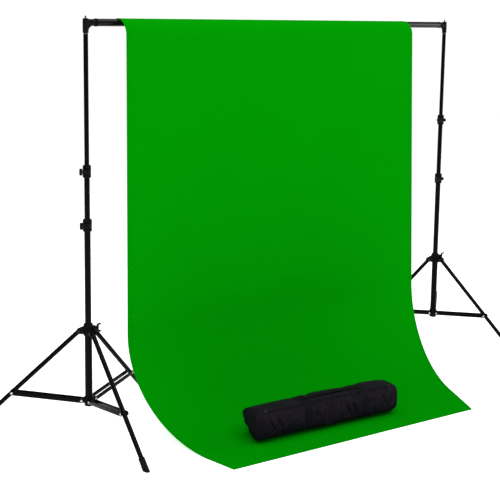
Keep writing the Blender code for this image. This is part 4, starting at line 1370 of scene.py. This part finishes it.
def makeTrim(surface, place):
    # piping round both ends and a zip along the front shoulder
    shape = bmesh.new()
    for x in (-bag["length"] / 2 + 0.012, bag["length"] / 2 - 0.012):
        line = []
        for step in range(120):
            spot, _ = onBag(surface, x, math.tau * step / 120, 0.0006)
            spot.z = max(0.0022, spot.z)
            line.append(place @ spot)
        gather(shape, curveMesh(line, bag["piping"], cyclic=True))
    finishPiece("bag_piping", shape, [nylon], "bag", [], 50)
    tape, teeth = [], bmesh.new()
    for step in range(181):
        x = -0.285 + 0.570 * step / 180
        row = []
        for turn in (0.78, 0.86, 0.94):
            spot, _ = onBag(surface, x, math.pi - turn, 0.0003)
            row.append(place @ spot)
        tape.append(row)
    gather(teeth, strapMesh(tape, -0.0007), flat, 1)
    for step in range(230):
        x = bag["zipHalf"] * (2 * step / 229 - 1)
        spot, normal = onBag(surface, x, math.pi - bag["zipAngle"], 0.0010)
        tooth = block((0.0013, 0.0034 if step % 2 else 0.0028, 0.0010))
        gather(teeth, tooth, seated(place, spot, normal), 0)
    for x in (-bag["zipHalf"], bag["zipHalf"]):
        spot, normal = onBag(surface, x, math.pi - bag["zipAngle"], 0.0026)
        slider = softened(block((0.011, 0.0078, 0.0036)), 0.0012)
        gather(teeth, slider, seated(place, spot, normal), 2)
    finishPiece("bag_zip", teeth, [plastic, webbing, darkSteel], "bag", [], 40)


surface, place, shell = makeBag()
makeBands(surface, place)
makeHandle(surface, place)
makeTrim(surface, place)
print("bag made")


def makeStage():
    shape = bmesh.new()
    bmesh.ops.create_grid(shape, x_segments=8, y_segments=8, size=14.0)
    bmesh.ops.translate(shape, verts=shape.verts, vec=(betweenPoles.x, betweenPoles.y, 0))
    mesh = bpy.data.meshes.new("studio_floor")
    shape.to_mesh(mesh)
    shape.free()
    finish = Finish("studio_floor")
    tone = finish.grain(finish.place(), 0.7, 3.0)
    finish.surface({
        "Base Color": finish.between(tone, (0.90, 0.90, 0.90), (0.94, 0.94, 0.94)),
        "Roughness": 0.9,
        "Specular IOR Level": 0.1,
        "Emission Color": (1.0, 1.0, 1.0, 1.0),
        "Emission Strength": 0.74,
    })
    mesh.materials.append(finish.material)
    linked("studio_floor", mesh)


def areaLight(name, spot, aim, size, watts):
    light = bpy.data.lights.new(name, "AREA")
    light.shape = "RECTANGLE"
    light.size, light.size_y = size
    light.energy = watts
    lamp = linked(name, light)
    spot = Vector(spot) + betweenPoles
    lamp.matrix_world = Matrix.Translation(spot) @ (spot - (Vector(aim) + betweenPoles)).to_track_quat(
        "Z", "Y"
    ).to_matrix().to_4x4()


def makeWorld():
    # the room is grey, and the paper behind is lit white
    world = bpy.data.worlds.new("studio")
    world.use_nodes = True
    tree = world.node_tree
    room = tree.nodes["Background"]
    room.inputs["Color"].default_value = (1, 1, 1, 1)
    room.inputs["Strength"].default_value = 0.30
    paper = tree.nodes.new("ShaderNodeBackground")
    paper.inputs["Color"].default_value = (1, 1, 1, 1)
    paper.inputs["Strength"].default_value = 1.05
    mix = tree.nodes.new("ShaderNodeMixShader")
    rays = tree.nodes.new("ShaderNodeLightPath")
    tree.links.new(rays.outputs["Is Camera Ray"], mix.inputs[0])
    tree.links.new(room.outputs[0], mix.inputs[1])
    tree.links.new(paper.outputs[0], mix.inputs[2])
    tree.links.new(mix.outputs[0], tree.nodes["World Output"].inputs["Surface"])
    bpy.context.scene.world = world


makeStage()
makeWorld()
areaLight("overhead", (-0.4, -0.8, 4.4), (0, 0, 0), (6.0, 6.0), 215)
areaLight("camera_side", (-4.8, -4.2, 2.8), (0, 0, 0.8), (2.6, 2.6), 62)
areaLight("right_strip", (3.8, -2.2, 2.0), (0.4, 0, 0.9), (0.7, 2.6), 40)

camera = bpy.data.cameras.new("camera")
camera.lens, camera.sensor_width = 83.72, 36.0
camera.shift_x, camera.shift_y = 0.0, -0.09
camera.clip_end = 60.0
yaw, pitch, roll = -0.7465, 0.1622, 0.014
forward = Vector((-math.sin(yaw) * math.cos(pitch), math.cos(yaw) * math.cos(pitch), -math.sin(pitch)))
right = Vector((math.cos(yaw), math.sin(yaw), 0))
above = right.cross(forward)
rightTurned = math.cos(roll) * right + math.sin(roll) * above
aboveTurned = math.cos(roll) * above - math.sin(roll) * right
cameraRig = linked("camera", camera)
turn = Matrix((rightTurned, aboveTurned, -forward)).transposed().to_4x4()
cameraSpot = Vector((-3.35, -3.3947, 1.5223))  # from the floor point between the poles
cameraRig.matrix_world = Matrix.Translation(betweenPoles + cameraSpot) @ turn
bpy.context.scene.camera = cameraRig
bpy.context.scene.view_settings.view_transform = "Standard"
print("camera and lights set")
